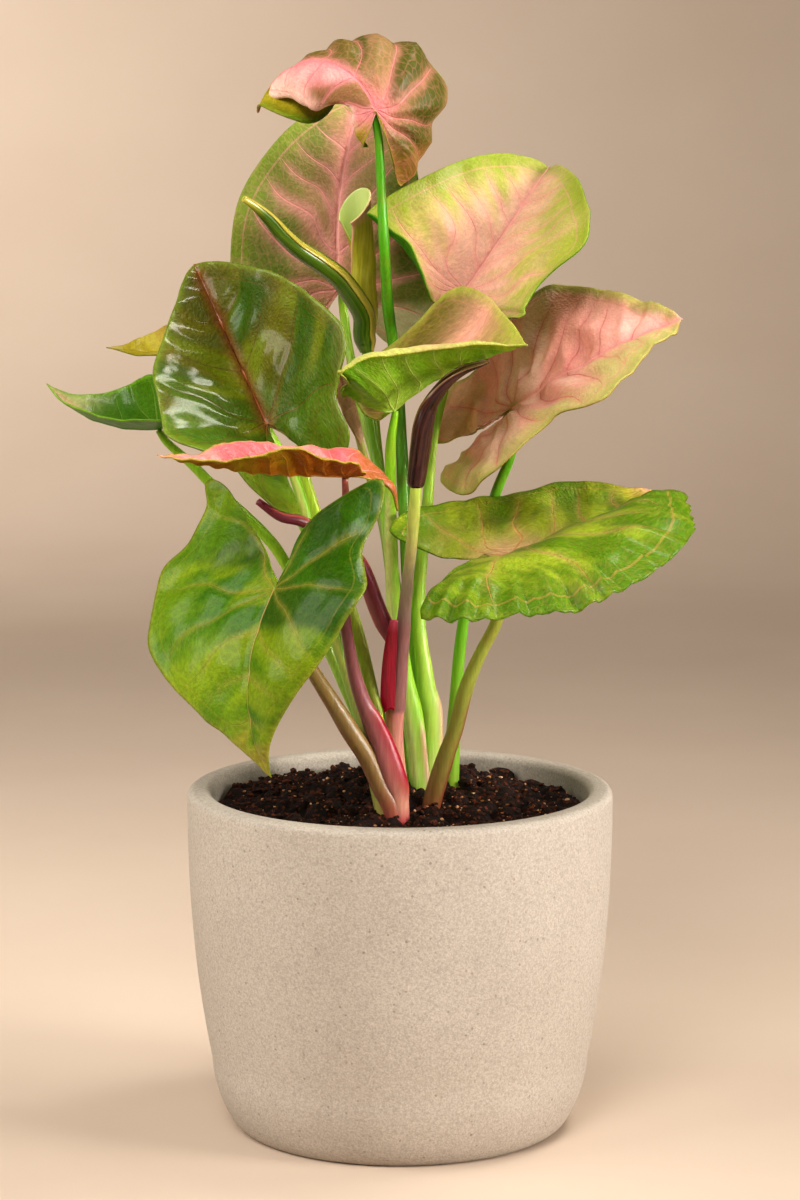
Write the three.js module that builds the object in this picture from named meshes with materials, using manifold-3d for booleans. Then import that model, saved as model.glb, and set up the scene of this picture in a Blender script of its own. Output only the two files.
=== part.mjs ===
// Arrowhead vine with pink variegated leaves in a round speckled stoneware pot.
// Millimetres, +Z up. The origin is the centre of the pot's underside, the camera side is -Y.
import * as THREE from 'three';
import { mergeVertices } from 'three/addons/utils/BufferGeometryUtils.js';
import Module from 'manifold-3d';

const wasm = await Module();
wasm.setup();

// Pot: outer size, wall, and the curve of its side
const potHeight = 113;
const potRadius = 70;
const potWall = 8;
const potFloor = 9;
const footRadius = 52.5;
const filletHeight = 23;
const filletRadius = 62.4;
const sidePower = 2.37;
const filletPower = 1.6;
const rimRound = 2.5;
const potSides = 40;

// Soil: level at the wall, height of the mound behind the middle, and crumbs
const soilLevel = 105;
const soilMound = 5;
const soilLump = 1.6;
const soilGap = 0.4;
const soilRings = 6;

// Plant
const clearance = 0.3;
const bladeThickness = 0.7;
const bladeRings = [0.2, 0.45, 0.73, 1];
const stalkSides = 8;
const rollSides = 10;
const holeGrowth = 0.45;
const neckRadius = 0.7;
const tipRadius = 0.6;
const tipReach = 0.3;

const degrees = Math.PI / 180;

// A leaf's blade is described flat, then bent. Sizes are in millimetres and angles in degrees:
// at          where the stalk meets the blade
// length      from the stalk to the tip
// width       of the left and right half, lobe: how far each basal lobe reaches back
// spread      how far out each lobe's point lies, as a share of the half width
// notch       how wide the gap is between each lobe and the middle line, 1 unless given
// full        below 1 the front half is rounder, above 1 it is more pointed
// azimuth, pitch, roll: the way the tip points from the stalk, and the turn about the midrib
// bend        the tip's drop along the midrib, bendRun puts it nearer the tip, back drops the lobes
// fold, curl  each half's rise at the midrib and its extra turn at the margin
// lobeTurn    extra rise of each lobe, tipTurn: the same towards the tip, edge: a roll of the rim
// shape       each half's own fullness at three places before the stalk and two behind it
const leaves = {
  blade_top: {
    at: [-8, 4, 334], length: 59, width: [10, 36], lobe: [13, 28], spread: [0.8, 0.25], full: 0.72,
    azimuth: 188, pitch: 74, roll: -59, bend: 136, bendRun: -21, back: 30, sweep: -50,
    fold: [-35, 36], curl: [-46, -84], lobeTurn: [-20, -6], edge: [-70, 0], tipTurn: [0, -215],
    shape: [[2.7, 2.75, 2.2, 1.0, 1.0], [1.7, 1.2, 0.96, 0.91, 1.0]], color: 0xc98078,
  },
  blade_back_left: {
    at: [-20, 48, 274], length: 75, width: [37, 38], lobe: [19, 21], spread: [0.51, 0.46], full: 0.63,
    azimuth: 62, pitch: 105, roll: 14, bend: 63, bendRun: 3, back: 10, sweep: 16,
    fold: [16, 10], curl: [5, 0], lobeTurn: [0, 0],
    shape: [[1.0, 1.01, 1.06, 1.0, 1.0], [1.01, 1.07, 0.91, 1.0, 1.0]], color: 0x94975e,
  },
  blade_upper_right: {
    at: [21, 25, 274], length: 60, width: [41, 39], lobe: [15, 17], spread: [0.27, 0.8], full: 0.6,
    azimuth: 23, pitch: 51, roll: 41, bend: 36, bendRun: 18, back: -36, sweep: -19,
    fold: [28, 26], curl: [18, 16], lobeTurn: [33, -5],
    shape: [[1.09, 0.97, 0.95, 0.94, 1.05], [1.17, 1.22, 1.42, 1.03, 1.01]], color: 0xd0ae78,
  },
  blade_centre: {
    at: [-2, -13, 239], length: 59, width: [36, 37], lobe: [6, 6], spread: [0.21, 0.49], full: 0.9,
    azimuth: -5, pitch: 44, roll: -41, bend: 44, bendRun: -40, back: 13, sweep: 23,
    fold: [58, -30], curl: [21, 80], lobeTurn: [21, 20], edge: [0, -113],
    shape: [[1.2, 1.23, 1.42, 0.99, 0.99], [0.99, 0.97, 0.97, 0.76, 0.84]], color: 0x9aa044,
  },
  blade_right: {
    at: [37, 8, 237], length: 66, width: [43, 38], lobe: [40, 32], spread: [0.29, 0.32], full: 0.61,
    azimuth: -43, pitch: 36, roll: 49, bend: 30, bendRun: -14, back: -9, sweep: -16,
    fold: [12, 15], curl: [-3, -8], lobeTurn: [2, -2],
    shape: [[1.07, 1.06, 1.06, 0.76, 1.06], [1.12, 1.33, 0.85, 1.07, 0.98]], color: 0xd08c78,
  },
  blade_large_left: {
    at: [-43, -9, 234], length: 66, width: [36, 47], lobe: [32, 23], spread: [0.2, 0.45], full: 0.64,
    azimuth: 121, pitch: 45, roll: -28, bend: -6, bendRun: 4, back: 46, sweep: -1,
    fold: [25, 43], curl: [4, 17], lobeTurn: [43, 4],
    shape: [[0.96, 0.98, 1.05, 0.84, 1.02], [1.09, 1.02, 0.99, 0.84, 1.02]], color: 0x5a6a1c,
  },
  blade_front_left: {
    at: [-39, -58, 187], length: 62, width: [40, 53], lobe: [39, 37], spread: [0.66, 0.76], full: 1.02,
    azimuth: -133, pitch: -51, roll: 14, bend: 71, bendRun: 29, back: -19, sweep: 2,
    fold: [10, 14], curl: [-34, -5], lobeTurn: [-8, 3], edge: [-19, 0], notch: [0.25, 1],
    shape: [[1.0, 1.02, 1.05, 0.79, 0.9], [0.94, 1.07, 1.13, 0.9, 0.88]], color: 0x4f8a1c,
  },
  blade_front_right: {
    at: [36, -20, 192], length: 66, width: [36, 58], lobe: [33, 47], spread: [0.63, 0.78], full: 0.6,
    azimuth: 19, pitch: 16, roll: 4, bend: 19, bendRun: 39, back: -3, sweep: -23,
    fold: [16, 33], curl: [7, -79], lobeTurn: [22, 11],
    shape: [[1.0, 1.1, 0.95, 1, 1], [1.03, 1.12, 1.05, 1, 1]], color: 0x7d9c30,
  },
  blade_edge_left: {
    at: [-17, -58, 223], length: 62, width: [10, 14], lobe: [5, 22], spread: [0.4, 0.48], full: 0.9,
    azimuth: 197, pitch: 4, roll: 0, bend: -14, bendRun: -14, back: 70, sweep: -10,
    fold: [30, 34], curl: [4, -7], lobeTurn: [0, 0], tipTurn: [-30, 0],
    shape: [[1.7, 2.1, 2.0, 0.8, 0.7], [1.5, 1.65, 1.2, 0.9, 1.0]], color: 0xcf6a5c,
  },
  blade_far_left: {
    at: [-79, 8, 231], length: 42, width: [21, 27], lobe: [12, 12], spread: [0.5, 0.5], full: 1.04,
    azimuth: -170, pitch: -5, roll: 3, bend: -55, bendRun: -11, back: 0, sweep: 34,
    fold: [8, 27], curl: [4, 20], lobeTurn: [0, 0], color: 0x4e8020,
  },
  blade_small_left: {
    at: [-68, 34, 255], length: 30, width: [13, 14], lobe: [9, 9], spread: [0.5, 0.5], full: 1,
    azimuth: 184, pitch: -12, roll: -20, bend: -25, bendRun: 0, back: 0, sweep: 0,
    fold: [20, 20], curl: [0, 0], lobeTurn: [0, 0], color: 0x96872a,
  },
  blade_behind_stems: {
    at: [-18, 50, 242], length: 22, width: [11, 11], lobe: [8, 8], spread: [0.5, 0.5], full: 0.8,
    azimuth: -20, pitch: -72, roll: 15, bend: 10, bendRun: 0, back: 10, sweep: 0,
    fold: [10, 10], curl: [0, 0], lobeTurn: [0, 0], color: 0x8a6a34,
  },
};

// Half of the flat outline, from the tip to the notch where the stalk joins
const frontShape = [[0, 1], [0.045, 0.94], [0.19, 0.8], [0.48, 0.6], [0.78, 0.36], [0.96, 0.13]];
const outerPoints = 10;

function halfOutline(leaf, side) {
  const half = side > 0 ? 1 : 0;
  const width = leaf.width[half];
  const lobe = leaf.lobe[half];
  const spread = leaf.spread[half];
  const shoulder = spread + 0.14;
  const shape = leaf.shape ? leaf.shape[half] : [1, 1, 1, 1, 1];
  const notch = leaf.notch ? leaf.notch[half] : 1;
  const frontFactor = [1, 1, shape[0], shape[1], shape[2], 1];
  const backShape = [
    [1, -0.1], [(1 + (shoulder - 1) * 0.25) * shape[3], -0.42],
    [(1 + (shoulder - 1) * 0.66) * shape[4], -0.76],
    [spread + 0.08, -0.96], [spread, -1], [spread - 0.12, -0.9],
    [0.55 * (spread - 0.12) * notch, -0.55], [0.13 * spread * notch, -0.2],
  ];
  const points = frontShape.map(([x, y], i) => (
    [side * width * frontFactor[i] * x ** leaf.full, y * leaf.length]));
  backShape.forEach(([x, y]) => points.push([side * width * x, y * lobe]));
  points.push([0, -0.03 * (leaf.lobe[0] + leaf.lobe[1])]);
  return points;
}

// The half width at a place along the midrib
function widthAt(leaf, side, y) {
  const edge = halfOutline(leaf, side).slice(0, outerPoints + 1);
  for (let i = 0; i < edge.length - 1; i += 1) {
    const [x0, y0] = edge[i];
    const [x1, y1] = edge[i + 1];
    if (y <= y0 && y >= y1) return Math.abs(x0 + (x1 - x0) * (y0 - y) / (y0 - y1 || 1));
  }
  return 0;
}

// Frames along the midrib: tip direction, upper normal and right-hand side, to the tip or to the lobes
const spineSteps = 24;
function leafSpine(leaf, sign) {
  const az = leaf.azimuth * degrees;
  const pitch = leaf.pitch * degrees;
  const ahead = [Math.cos(az), Math.sin(az)];
  const tip = new THREE.Vector3(Math.cos(pitch) * ahead[0], Math.cos(pitch) * ahead[1], Math.sin(pitch));
  const up = new THREE.Vector3(-Math.sin(pitch) * ahead[0], -Math.sin(pitch) * ahead[1], Math.cos(pitch))
    .applyAxisAngle(tip, leaf.roll * degrees);
  const reach = sign > 0 ? leaf.length : Math.max(...leaf.lobe);
  const step = reach / spineSteps;
  const place = new THREE.Vector3();
  const frames = [];
  for (let i = 0; i <= spineSteps; i += 1) {
    frames.push({ place: place.clone(), tip: tip.clone(), up: up.clone() });
    const share = (i + 0.5) / spineSteps;
    const drop = sign > 0 ? leaf.bend + leaf.bendRun * (2 * share - 1) : -leaf.back;
    const sweep = sign > 0 ? leaf.sweep : 0;
    const right = tip.clone().cross(up);
    tip.applyAxisAngle(right, -drop * degrees / spineSteps);
    up.applyAxisAngle(right, -drop * degrees / spineSteps);
    tip.applyAxisAngle(up, -sweep * degrees / spineSteps);
    place.addScaledVector(tip, sign * step);
  }
  return { frames, step };
}

function smooth(share) {
  const t = Math.min(Math.max(share, 0), 1);
  return t * t * (3 - 2 * t);
}

// Bends a flat point of the blade to its place on the plant
const edgeFrom = 0.7;
const crossSteps = 24;
function bladePoint(leaf, spines, x, y) {
  const spine = y >= 0 ? spines.front : spines.rear;
  const along = Math.abs(y) / spine.step;
  const index = Math.min(Math.floor(along), spineSteps - 1);
  const a = spine.frames[index];
  const b = spine.frames[index + 1];
  const place = a.place.clone().lerp(b.place, along - index);
  const tip = a.tip.clone().lerp(b.tip, along - index).normalize();
  const up = a.up.clone().lerp(b.up, along - index).normalize();
  const right = tip.cross(up);
  const side = x >= 0 ? 1 : -1;
  const half = side > 0 ? 1 : 0;
  const width = Math.max(widthAt(leaf, side, y), Math.abs(x), 1e-6);
  const lobe = leaf.lobeTurn[half] * Math.min(Math.max(-y / leaf.lobe[half], 0), 1);
  const { edge = [0, 0], tipTurn = [0, 0] } = leaf;
  const ahead = tipTurn[half] * Math.min(Math.max(y / leaf.length, 0), 1) ** 3;
  const steps = Math.abs(x) / width * crossSteps;
  let out = 0;
  let rise = 0;
  for (let i = 0; i < steps; i += 1) {
    const share = (i + 0.5) / crossSteps;
    const part = Math.min(steps - i, 1) * width / crossSteps;
    const turn = leaf.fold[half] + lobe + ahead + leaf.curl[half] * share
      + edge[half] * smooth((share - edgeFrom) / (1 - edgeFrom));
    out += Math.cos(turn * degrees) * part;
    rise += Math.sin(turn * degrees) * part;
  }
  return place.addScaledVector(right, side * out).addScaledVector(up, rise)
    .add(new THREE.Vector3(...leaf.at));
}

function makeGeometry(points, triangles) {
  const geometry = new THREE.BufferGeometry();
  const numbers = points.flatMap((p) => [p.x, p.y, p.z]);
  geometry.setAttribute('position', new THREE.Float32BufferAttribute(numbers, 3));
  geometry.setIndex(triangles.flat());
  return geometry;
}

// The blade: rings of the outline about the stalk, the same triangles on both faces
function bladeGeometry(leaf) {
  const spines = { front: leafSpine(leaf, 1), rear: leafSpine(leaf, -1) };
  const rim = [...halfOutline(leaf, 1), ...halfOutline(leaf, -1).slice(1, -1).reverse()];
  const middle = [bladePoint(leaf, spines, 0, 0)];
  bladeRings.forEach((share) => {
    rim.forEach(([x, y]) => middle.push(bladePoint(leaf, spines, x * share, y * share)));
  });
  const count = rim.length;
  const faces = [];
  for (let j = 0; j < count; j += 1) faces.push([0, 1 + j, 1 + (j + 1) % count]);
  for (let ring = 0; ring < bladeRings.length - 1; ring += 1) {
    for (let j = 0; j < count; j += 1) {
      const a = 1 + ring * count + j;
      const b = 1 + ring * count + (j + 1) % count;
      faces.push([a, a + count, b + count], [a, b + count, b]);
    }
  }
  const normals = middle.map(() => new THREE.Vector3());
  faces.forEach(([a, b, c]) => {
    const n = middle[b].clone().sub(middle[a]).cross(middle[c].clone().sub(middle[a]));
    [a, b, c].forEach((i) => normals[i].add(n));
  });
  const half = bladeThickness / 2;
  const upper = middle.map((p, i) => p.clone().addScaledVector(normals[i].normalize(), half));
  const lower = middle.map((p, i) => p.clone().addScaledVector(normals[i], -half));
  const total = middle.length;
  const triangles = [];
  faces.forEach(([a, b, c]) => triangles.push([a, b, c], [total + a, total + c, total + b]));
  const last = total - count;
  for (let j = 0; j < count; j += 1) {
    const a = last + j;
    const b = last + (j + 1) % count;
    triangles.push([a, total + a, total + b], [a, total + b, b]);
  }
  return makeGeometry([...upper, ...lower], triangles);
}

// A stalk: rings along a smooth curve, its thickness read from the points, with blunt ends
function stalkGeometry(stalk, grow, sides) {
  const knots = stalk.map(([x, y, z]) => new THREE.Vector3(x, y, z));
  const curve = new THREE.CatmullRomCurve3(knots, false, 'centripetal');
  const steps = stalk.length + 2;
  const frames = curve.computeFrenetFrames(steps, false);
  const points = [];
  const ring = (i, radius, ahead) => {
    const t = i / steps;
    const centre = curve.getPoint(t).addScaledVector(frames.tangents[i], ahead);
    for (let k = 0; k < sides; k += 1) {
      const angle = 2 * Math.PI * k / sides;
      points.push(centre.clone().addScaledVector(frames.normals[i], Math.cos(angle) * radius)
        .addScaledVector(frames.binormals[i], Math.sin(angle) * radius));
    }
    return centre;
  };
  const radiusAt = (t) => {
    const at = t * (stalk.length - 1);
    const i = Math.min(Math.floor(at), stalk.length - 2);
    return (stalk[i][3] + (stalk[i + 1][3] - stalk[i][3]) * (at - i)) + grow;
  };
  const first = radiusAt(0);
  const last = radiusAt(1);
  const start = ring(0, first * tipRadius, -first * tipReach - grow);
  for (let i = 0; i <= steps; i += 1) ring(i, radiusAt(i / steps), 0);
  const finish = ring(steps, last * tipRadius, last * tipReach + grow);
  const rings = steps + 3;
  const triangles = [];
  for (let r = 0; r < rings - 1; r += 1) {
    for (let k = 0; k < sides; k += 1) {
      const a = r * sides + k;
      const b = r * sides + (k + 1) % sides;
      triangles.push([a, b, b + sides], [a, b + sides, a + sides]);
    }
  }
  points.push(start, finish);
  const top = (rings - 1) * sides;
  for (let k = 0; k < sides; k += 1) {
    const next = (k + 1) % sides;
    triangles.push([rings * sides, next, k], [rings * sides + 1, top + k, top + next]);
  }
  return makeGeometry(points, triangles);
}

// Solids for cutting and joining
function toSolid(geometry) {
  const bare = geometry.clone();
  bare.deleteAttribute('normal');
  bare.deleteAttribute('uv');
  const merged = mergeVertices(bare, 1e-4);
  const index = merged.getIndex().array;
  const kept = [];
  for (let i = 0; i < index.length; i += 3) {
    const [a, b, c] = [index[i], index[i + 1], index[i + 2]];
    if (a !== b && b !== c && a !== c) kept.push(a, b, c);
  }
  const mesh = new wasm.Mesh({
    numProp: 3,
    vertProperties: new Float32Array(merged.getAttribute('position').array),
    triVerts: new Uint32Array(kept),
  });
  return new wasm.Manifold(mesh);
}

function toGeometry(solid) {
  const mesh = solid.getMesh();
  const geometry = new THREE.BufferGeometry();
  const numbers = new Float32Array(mesh.vertProperties);
  geometry.setAttribute('position', new THREE.BufferAttribute(numbers, 3));
  geometry.setIndex(new THREE.BufferAttribute(new Uint32Array(mesh.triVerts), 1));
  return geometry;
}

// Pot: one closed profile, up the outside, round the rim and down the inside
function potOutside(z) {
  const share = (potHeight - z) / (potHeight - filletHeight);
  return potRadius - (potRadius - filletRadius) * share ** sidePower;
}

const innerRound = 14;
function potInside(z) {
  const low = potFloor + innerRound;
  if (z >= low) return potOutside(z) - potWall;
  const drop = (low - z) / innerRound;
  return potOutside(low) - potWall - innerRound * (1 - Math.sqrt(Math.max(1 - drop * drop, 0)));
}

const innerLevels = [potFloor, 12, 17, 23, 46, 70, 94];

function potGeometry() {
  const profile = [[0, 0], [footRadius, 0]];
  for (let i = 1; i <= 5; i += 1) {
    const angle = Math.PI / 2 * i / 5;
    profile.push([
      footRadius + (filletRadius - footRadius) * Math.sin(angle) ** (2 / filletPower),
      filletHeight * (1 - Math.cos(angle) ** (2 / filletPower)),
    ]);
  }
  [40, 58, 76, 94].forEach((z) => profile.push([potOutside(z), z]));
  const rimOuter = potRadius - rimRound;
  const rimInner = potRadius - potWall + rimRound;
  const rimBase = potHeight - rimRound;
  for (let i = 0; i <= 3; i += 1) {
    const angle = Math.PI / 2 * i / 3;
    profile.push([rimOuter + rimRound * Math.cos(angle), rimBase + rimRound * Math.sin(angle)]);
  }
  for (let i = 0; i <= 3; i += 1) {
    const angle = Math.PI / 2 * (1 + i / 3);
    profile.push([rimInner + rimRound * Math.cos(angle), rimBase + rimRound * Math.sin(angle)]);
  }
  [...innerLevels].reverse().forEach((z) => profile.push([potInside(z), z]));
  profile.push([0, potFloor]);
  const geometry = new THREE.LatheGeometry(profile.map(([x, y]) => new THREE.Vector2(x, y)), potSides);
  return geometry.rotateX(Math.PI / 2);
}

// Soil: fills the pot, mounded behind the middle, with a crumbly top
function soilTop(x, y) {
  const mound = soilMound * Math.exp(-(x * x + (y - 14) ** 2) / (2 * 30 ** 2));
  const crumbs = Math.sin(x * 0.31 + 1.3) * Math.cos(y * 0.27 - 0.6) + 0.6 * Math.sin(x * 0.7 - y * 0.55);
  return soilLevel + mound + soilLump * 0.6 * crumbs;
}

function soilGeometry() {
  const profile = [[0, potFloor + clearance]];
  innerLevels.forEach((z) => profile.push([potInside(z) - soilGap, z + clearance]));
  const edge = potInside(soilLevel) - soilGap;
  for (let i = soilRings; i > 0; i -= 1) profile.push([edge * i / soilRings, soilLevel]);
  profile.push([0, soilLevel]);
  const geometry = new THREE.LatheGeometry(profile.map(([x, y]) => new THREE.Vector2(x, y)), potSides);
  geometry.rotateX(Math.PI / 2);
  const position = geometry.getAttribute('position');
  for (let i = 0; i < position.count; i += 1) {
    if (position.getZ(i) > soilLevel - 1) {
      position.setZ(i, soilTop(position.getX(i), position.getY(i)));
    }
  }
  return geometry;
}

// Stalks, from just under the blade down into the soil: x, y, z and radius at each point
const stalks = {
  top: { leaf: 'blade_top', drop: 0.7, path: [[-7, 7, 325, 1.3], [-6, 9, 306, 1.6], [-5, 10, 288, 1.7],
    [-4, 20, 270, 1.8], [-2, 28, 254, 1.9], [0, 28, 232, 2], [2, 22, 193, 2.1], [4, 18, 159, 2.3],
    [6, 16, 126, 2.8], [7, 15, 104, 3.2], [7, 15, 92, 3]] },
  centre: { leaf: 'blade_centre', path: [[-3, -12, 227, 1.6], [-3, -8, 212, 1.9], [-3, 0, 196, 2.2],
    [-2, 5, 172, 2.4], [1, 7, 150, 3.1], [4, 8, 135, 3.6], [6, 9, 118, 3.6], [7, 10, 104, 3.4],
    [7, 11, 92, 3]] },
  upperRight: { leaf: 'blade_upper_right', path: [[17, 28, 264, 1.5], [15, 27, 245, 1.7],
    [11, 24, 227, 1.8], [9, 21, 203, 1.9], [6, 18, 170, 2.2], [8, 16, 148, 3], [10, 16, 132, 3.3],
    [10, 16, 112, 3.1], [9, 16, 92, 2.8]] },
  backLeft: { leaf: 'blade_back_left', path: [[-19, 52, 265, 1.5], [-16, 46, 247, 1.6],
    [-11, 34, 228, 1.7], [-6, 28, 209, 1.8], [-2, 23, 172, 2], [2, 21, 125, 2.5], [4, 19, 104, 2.8],
    [5, 17, 92, 2.6]] },
  rolledLeft: { path: [[-11, 29, 254, 1.6], [-11, 29, 240, 1.7], [-8, 25, 220, 1.8], [-5, 18, 207, 1.9],
    [-2, 15, 174, 2.1], [1, 13, 127, 2.6], [4, 12, 104, 3], [5, 13, 92, 2.6]] },
  rolledMiddle: { path: [[-10, 34, 262, 1.5], [-10, 34, 250, 1.6], [-8, 30, 225, 1.7], [-5, 22, 200, 1.8],
    [0, 19, 165, 2], [4, 15, 125, 2.6], [5, 13, 104, 2.8], [5, 13, 92, 2.6]] },
  right: { leaf: 'blade_right', path: [[38, 12, 229, 1.5], [36, 13, 220, 1.6], [31, 14, 207, 1.7],
    [25, 15, 183, 1.8], [21, 16, 166, 1.9], [18, 17, 134, 2.2], [17, 18, 104, 2.6], [17, 18, 92, 2.4]] },
  largeLeft: { leaf: 'blade_large_left', path: [[-39, -11, 226, 1.5], [-35, -9, 219, 1.7],
    [-31, -8, 206, 1.8], [-26, -9, 184, 1.9], [-21, -12, 165, 2], [-12, -20, 138, 2.4], [-5, -24, 110, 3],
    [-3, -24, 92, 2.8]] },
  secondLeft: { path: [[-33, -3, 226, 1.2], [-31, -3, 217, 1.7], [-28, -4, 207, 1.8], [-21, -6, 186, 1.9],
    [-15, -8, 170, 2], [-10, -12, 151, 2.2], [-7, -17, 136, 2.4], [-3, -22, 116, 2.8],
    [-2, -24, 92, 2.6]] },
  frontLeft: { leaf: 'blade_front_left', path: [[-38, -52, 177, 1.5], [-35.5, -43, 169, 1.8],
    [-30.7, -36, 162, 2], [-26, -32, 154, 2.3], [-21, -29, 145.5, 2.6], [-16, -28, 137, 2.9],
    [-11, -27, 129, 3.1], [-6.5, -26, 119, 3.2], [-2.7, -25, 110, 3.2], [-1, -24, 92, 2.8]] },
  edgeLeft: { leaf: 'blade_edge_left', path: [[-17, -51, 211, 1.3], [-19, -42, 194, 1.7],
    [-18, -34, 177, 2], [-16, -31, 163, 2.1], [-14, -29, 153, 2.3], [-10, -27, 141, 2.8],
    [-6.5, -25.5, 132, 3.3], [-3, -25, 121, 3.6], [-0.5, -24, 112, 3.5], [0, -24, 92, 3]] },
  stub: { path: [[-45, -35, 212, 1.1], [-38, -34, 207, 1.5], [-31, -31, 205, 1.7], [-22, -25, 199, 2],
    [-13, -17, 190, 2.3], [-7, -16, 175, 2.6], [-4, -15.5, 168, 2.5], [0, -17, 160, 1.8]] },
  darkRoll: { path: [[5, -26, 214, 1.9], [3.7, -23, 197, 1.9], [2.3, -20, 183, 2], [1, -18, 169, 2.1],
    [-0.2, -16, 156, 2.4], [-1.4, -14, 144, 2.8], [-1.9, -13, 134, 3], [-1.2, -12, 123, 3],
    [0, -11, 111, 3], [1, -11, 92, 2.8]] },
  frontRight: { leaf: 'blade_front_right', path: [[34, -20, 185, 1.5], [31, -19, 171, 1.9],
    [26.7, -18, 162, 2.1], [23, -17, 153.5, 2.3], [20.6, -16, 146, 2.5], [18, -14, 135, 2.7],
    [15, -13, 126, 2.8], [12, -12, 116, 2.9], [10, -11, 107, 3], [9, -11, 92, 2.8]] },
  farLeft: { leaf: 'blade_far_left', path: [[-76, 7, 226, 1.4], [-68, 6, 219, 1.6], [-61, 5, 212, 1.7],
    [-45, 3, 197, 1.8], [-37, 2, 186, 1.9], [-24, 0, 160, 2.1], [-10, 3, 129, 2.4], [1, 8, 106, 2.8],
    [4, 10, 92, 2.6]] },
  smallLeft: { leaf: 'blade_small_left', path: [[-65, 33, 249, 1.2], [-52, 29, 228, 1.4],
    [-32, 24, 196, 1.6], [-16, 21, 160, 1.8], [-4, 18, 125, 2.2], [2, 16, 104, 2.6], [4, 15, 92, 2.4]] },
  behindStems: { leaf: 'blade_behind_stems', path: [[-17, 57, 235, 1.2], [-13, 55, 219, 1.4],
    [-5, 43, 190, 1.6], [0, 30, 150, 1.8], [4, 23, 115, 2.2], [5, 19, 92, 2.4]] },
};

// Each plantlet's stalks grow together at the soil, so they are one solid
const plantlets = {
  stems_front_left: { parts: ['largeLeft', 'secondLeft', 'frontLeft', 'edgeLeft'], color: 0x8f7a3a },
  stems_front: { parts: ['darkRoll', 'stub'], color: 0x9a8a4a },
  stem_front_right: { parts: ['frontRight'], color: 0x7d7a30 },
  stems_centre: {
    parts: ['top', 'centre', 'upperRight', 'backLeft', 'rolledLeft', 'rolledMiddle', 'farLeft', 'smallLeft',
      'behindStems'],
    color: 0x6fae1e,
  },
  stem_right: { parts: ['right'], color: 0x6fae1e },
};

// A blade's stalk ends just under the blade, in a narrow neck
function stalkPath(name) {
  const { leaf, path, drop = 0 } = stalks[name];
  if (!leaf) return path;
  const { up } = leafSpine(leaves[leaf], 1).frames[0];
  const seat = bladeThickness / 2 + clearance + neckRadius + drop;
  const [x, y, z] = leaves[leaf].at;
  return [[x - up.x * seat, y - up.y * seat, z - up.z * seat, neckRadius], ...path];
}

// Leaves still rolled up: x, y, z and radius from the base to the point
const rolledLeaves = {
  rolled_leaf_left: {
    color: 0x4c661c,
    path: [[-11, 29, 256, 2.6], [-12, 28, 260, 3.6], [-12, 26, 266, 3.8], [-15, 23, 272, 3.7],
      [-20, 19, 279, 3.5], [-26, 14, 284, 3.2], [-33, 9, 289, 2.9], [-38, 4, 294, 2.6], [-42, 0, 299, 2.3],
      [-46, -4, 303, 1.5], [-50, -7, 306, 0.7]],
  },
  rolled_leaf_middle: {
    color: 0x8a8a24,
    path: [[-10, 34, 264, 2.6], [-11, 33, 270, 4], [-12, 32, 283, 4.3], [-13, 31, 291, 4.6],
      [-14, 30, 296, 5], [-13, 31, 301, 3.6]],
  },
  sheath_red: {
    color: 0xa50028,
    path: [[-2, -20, 171, 0.7], [-3.6, -20, 166, 1.5], [-4.6, -20.5, 160, 2.1], [-4.8, -20.5, 154, 2.1],
      [-4.3, -19.5, 148, 1.9], [-3.3, -18.5, 143, 1.2]],
  },
  rolled_leaf_dark: {
    color: 0x5a3436,
    path: [[5, -26, 216, 1.9], [5.3, -26, 219, 2.6], [6, -26, 223, 3], [6.7, -27, 229, 3.2],
      [7.5, -28, 235, 3.2], [9, -29, 241, 2.8], [11, -31, 245, 2.4], [15, -32, 250, 2.1],
      [20, -32, 253.5, 1.7], [25, -34, 255.5, 1.2], [28, -34, 256.5, 0.7]],
  },
};

const group = new THREE.Group();

function addMesh(name, geometry, color, roughness) {
  const material = new THREE.MeshStandardMaterial({ color, roughness, metalness: 0 });
  const mesh = new THREE.Mesh(geometry, material);
  mesh.name = name;
  group.add(mesh);
}

addMesh('pot', potGeometry(), 0xc8b8a5, 0.85);

let soil = toSolid(soilGeometry());
Object.entries(plantlets).forEach(([name, { parts, color }]) => {
  const solid = parts.map((part) => toSolid(stalkGeometry(stalkPath(part), 0, stalkSides)))
    .reduce((joined, stalk) => joined.add(stalk));
  parts.forEach((part) => {
    soil = soil.subtract(toSolid(stalkGeometry(stalkPath(part), holeGrowth, stalkSides)));
  });
  addMesh(name, toGeometry(solid), color, 0.45);
});
// Crumbs cut loose between two holes are left out
const soilBody = soil.decompose().reduce((most, body) => (body.volume() > most.volume() ? body : most));
addMesh('soil', toGeometry(soilBody), 0x2c1e16, 0.95);

Object.entries(leaves).forEach(([name, leaf]) => addMesh(name, bladeGeometry(leaf), leaf.color, 0.4));
Object.entries(rolledLeaves).forEach(([name, { path, color }]) => {
  addMesh(name, stalkGeometry(path, 0, rollSides), color, 0.35);
});

export default group;
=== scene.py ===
import math
import random

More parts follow.
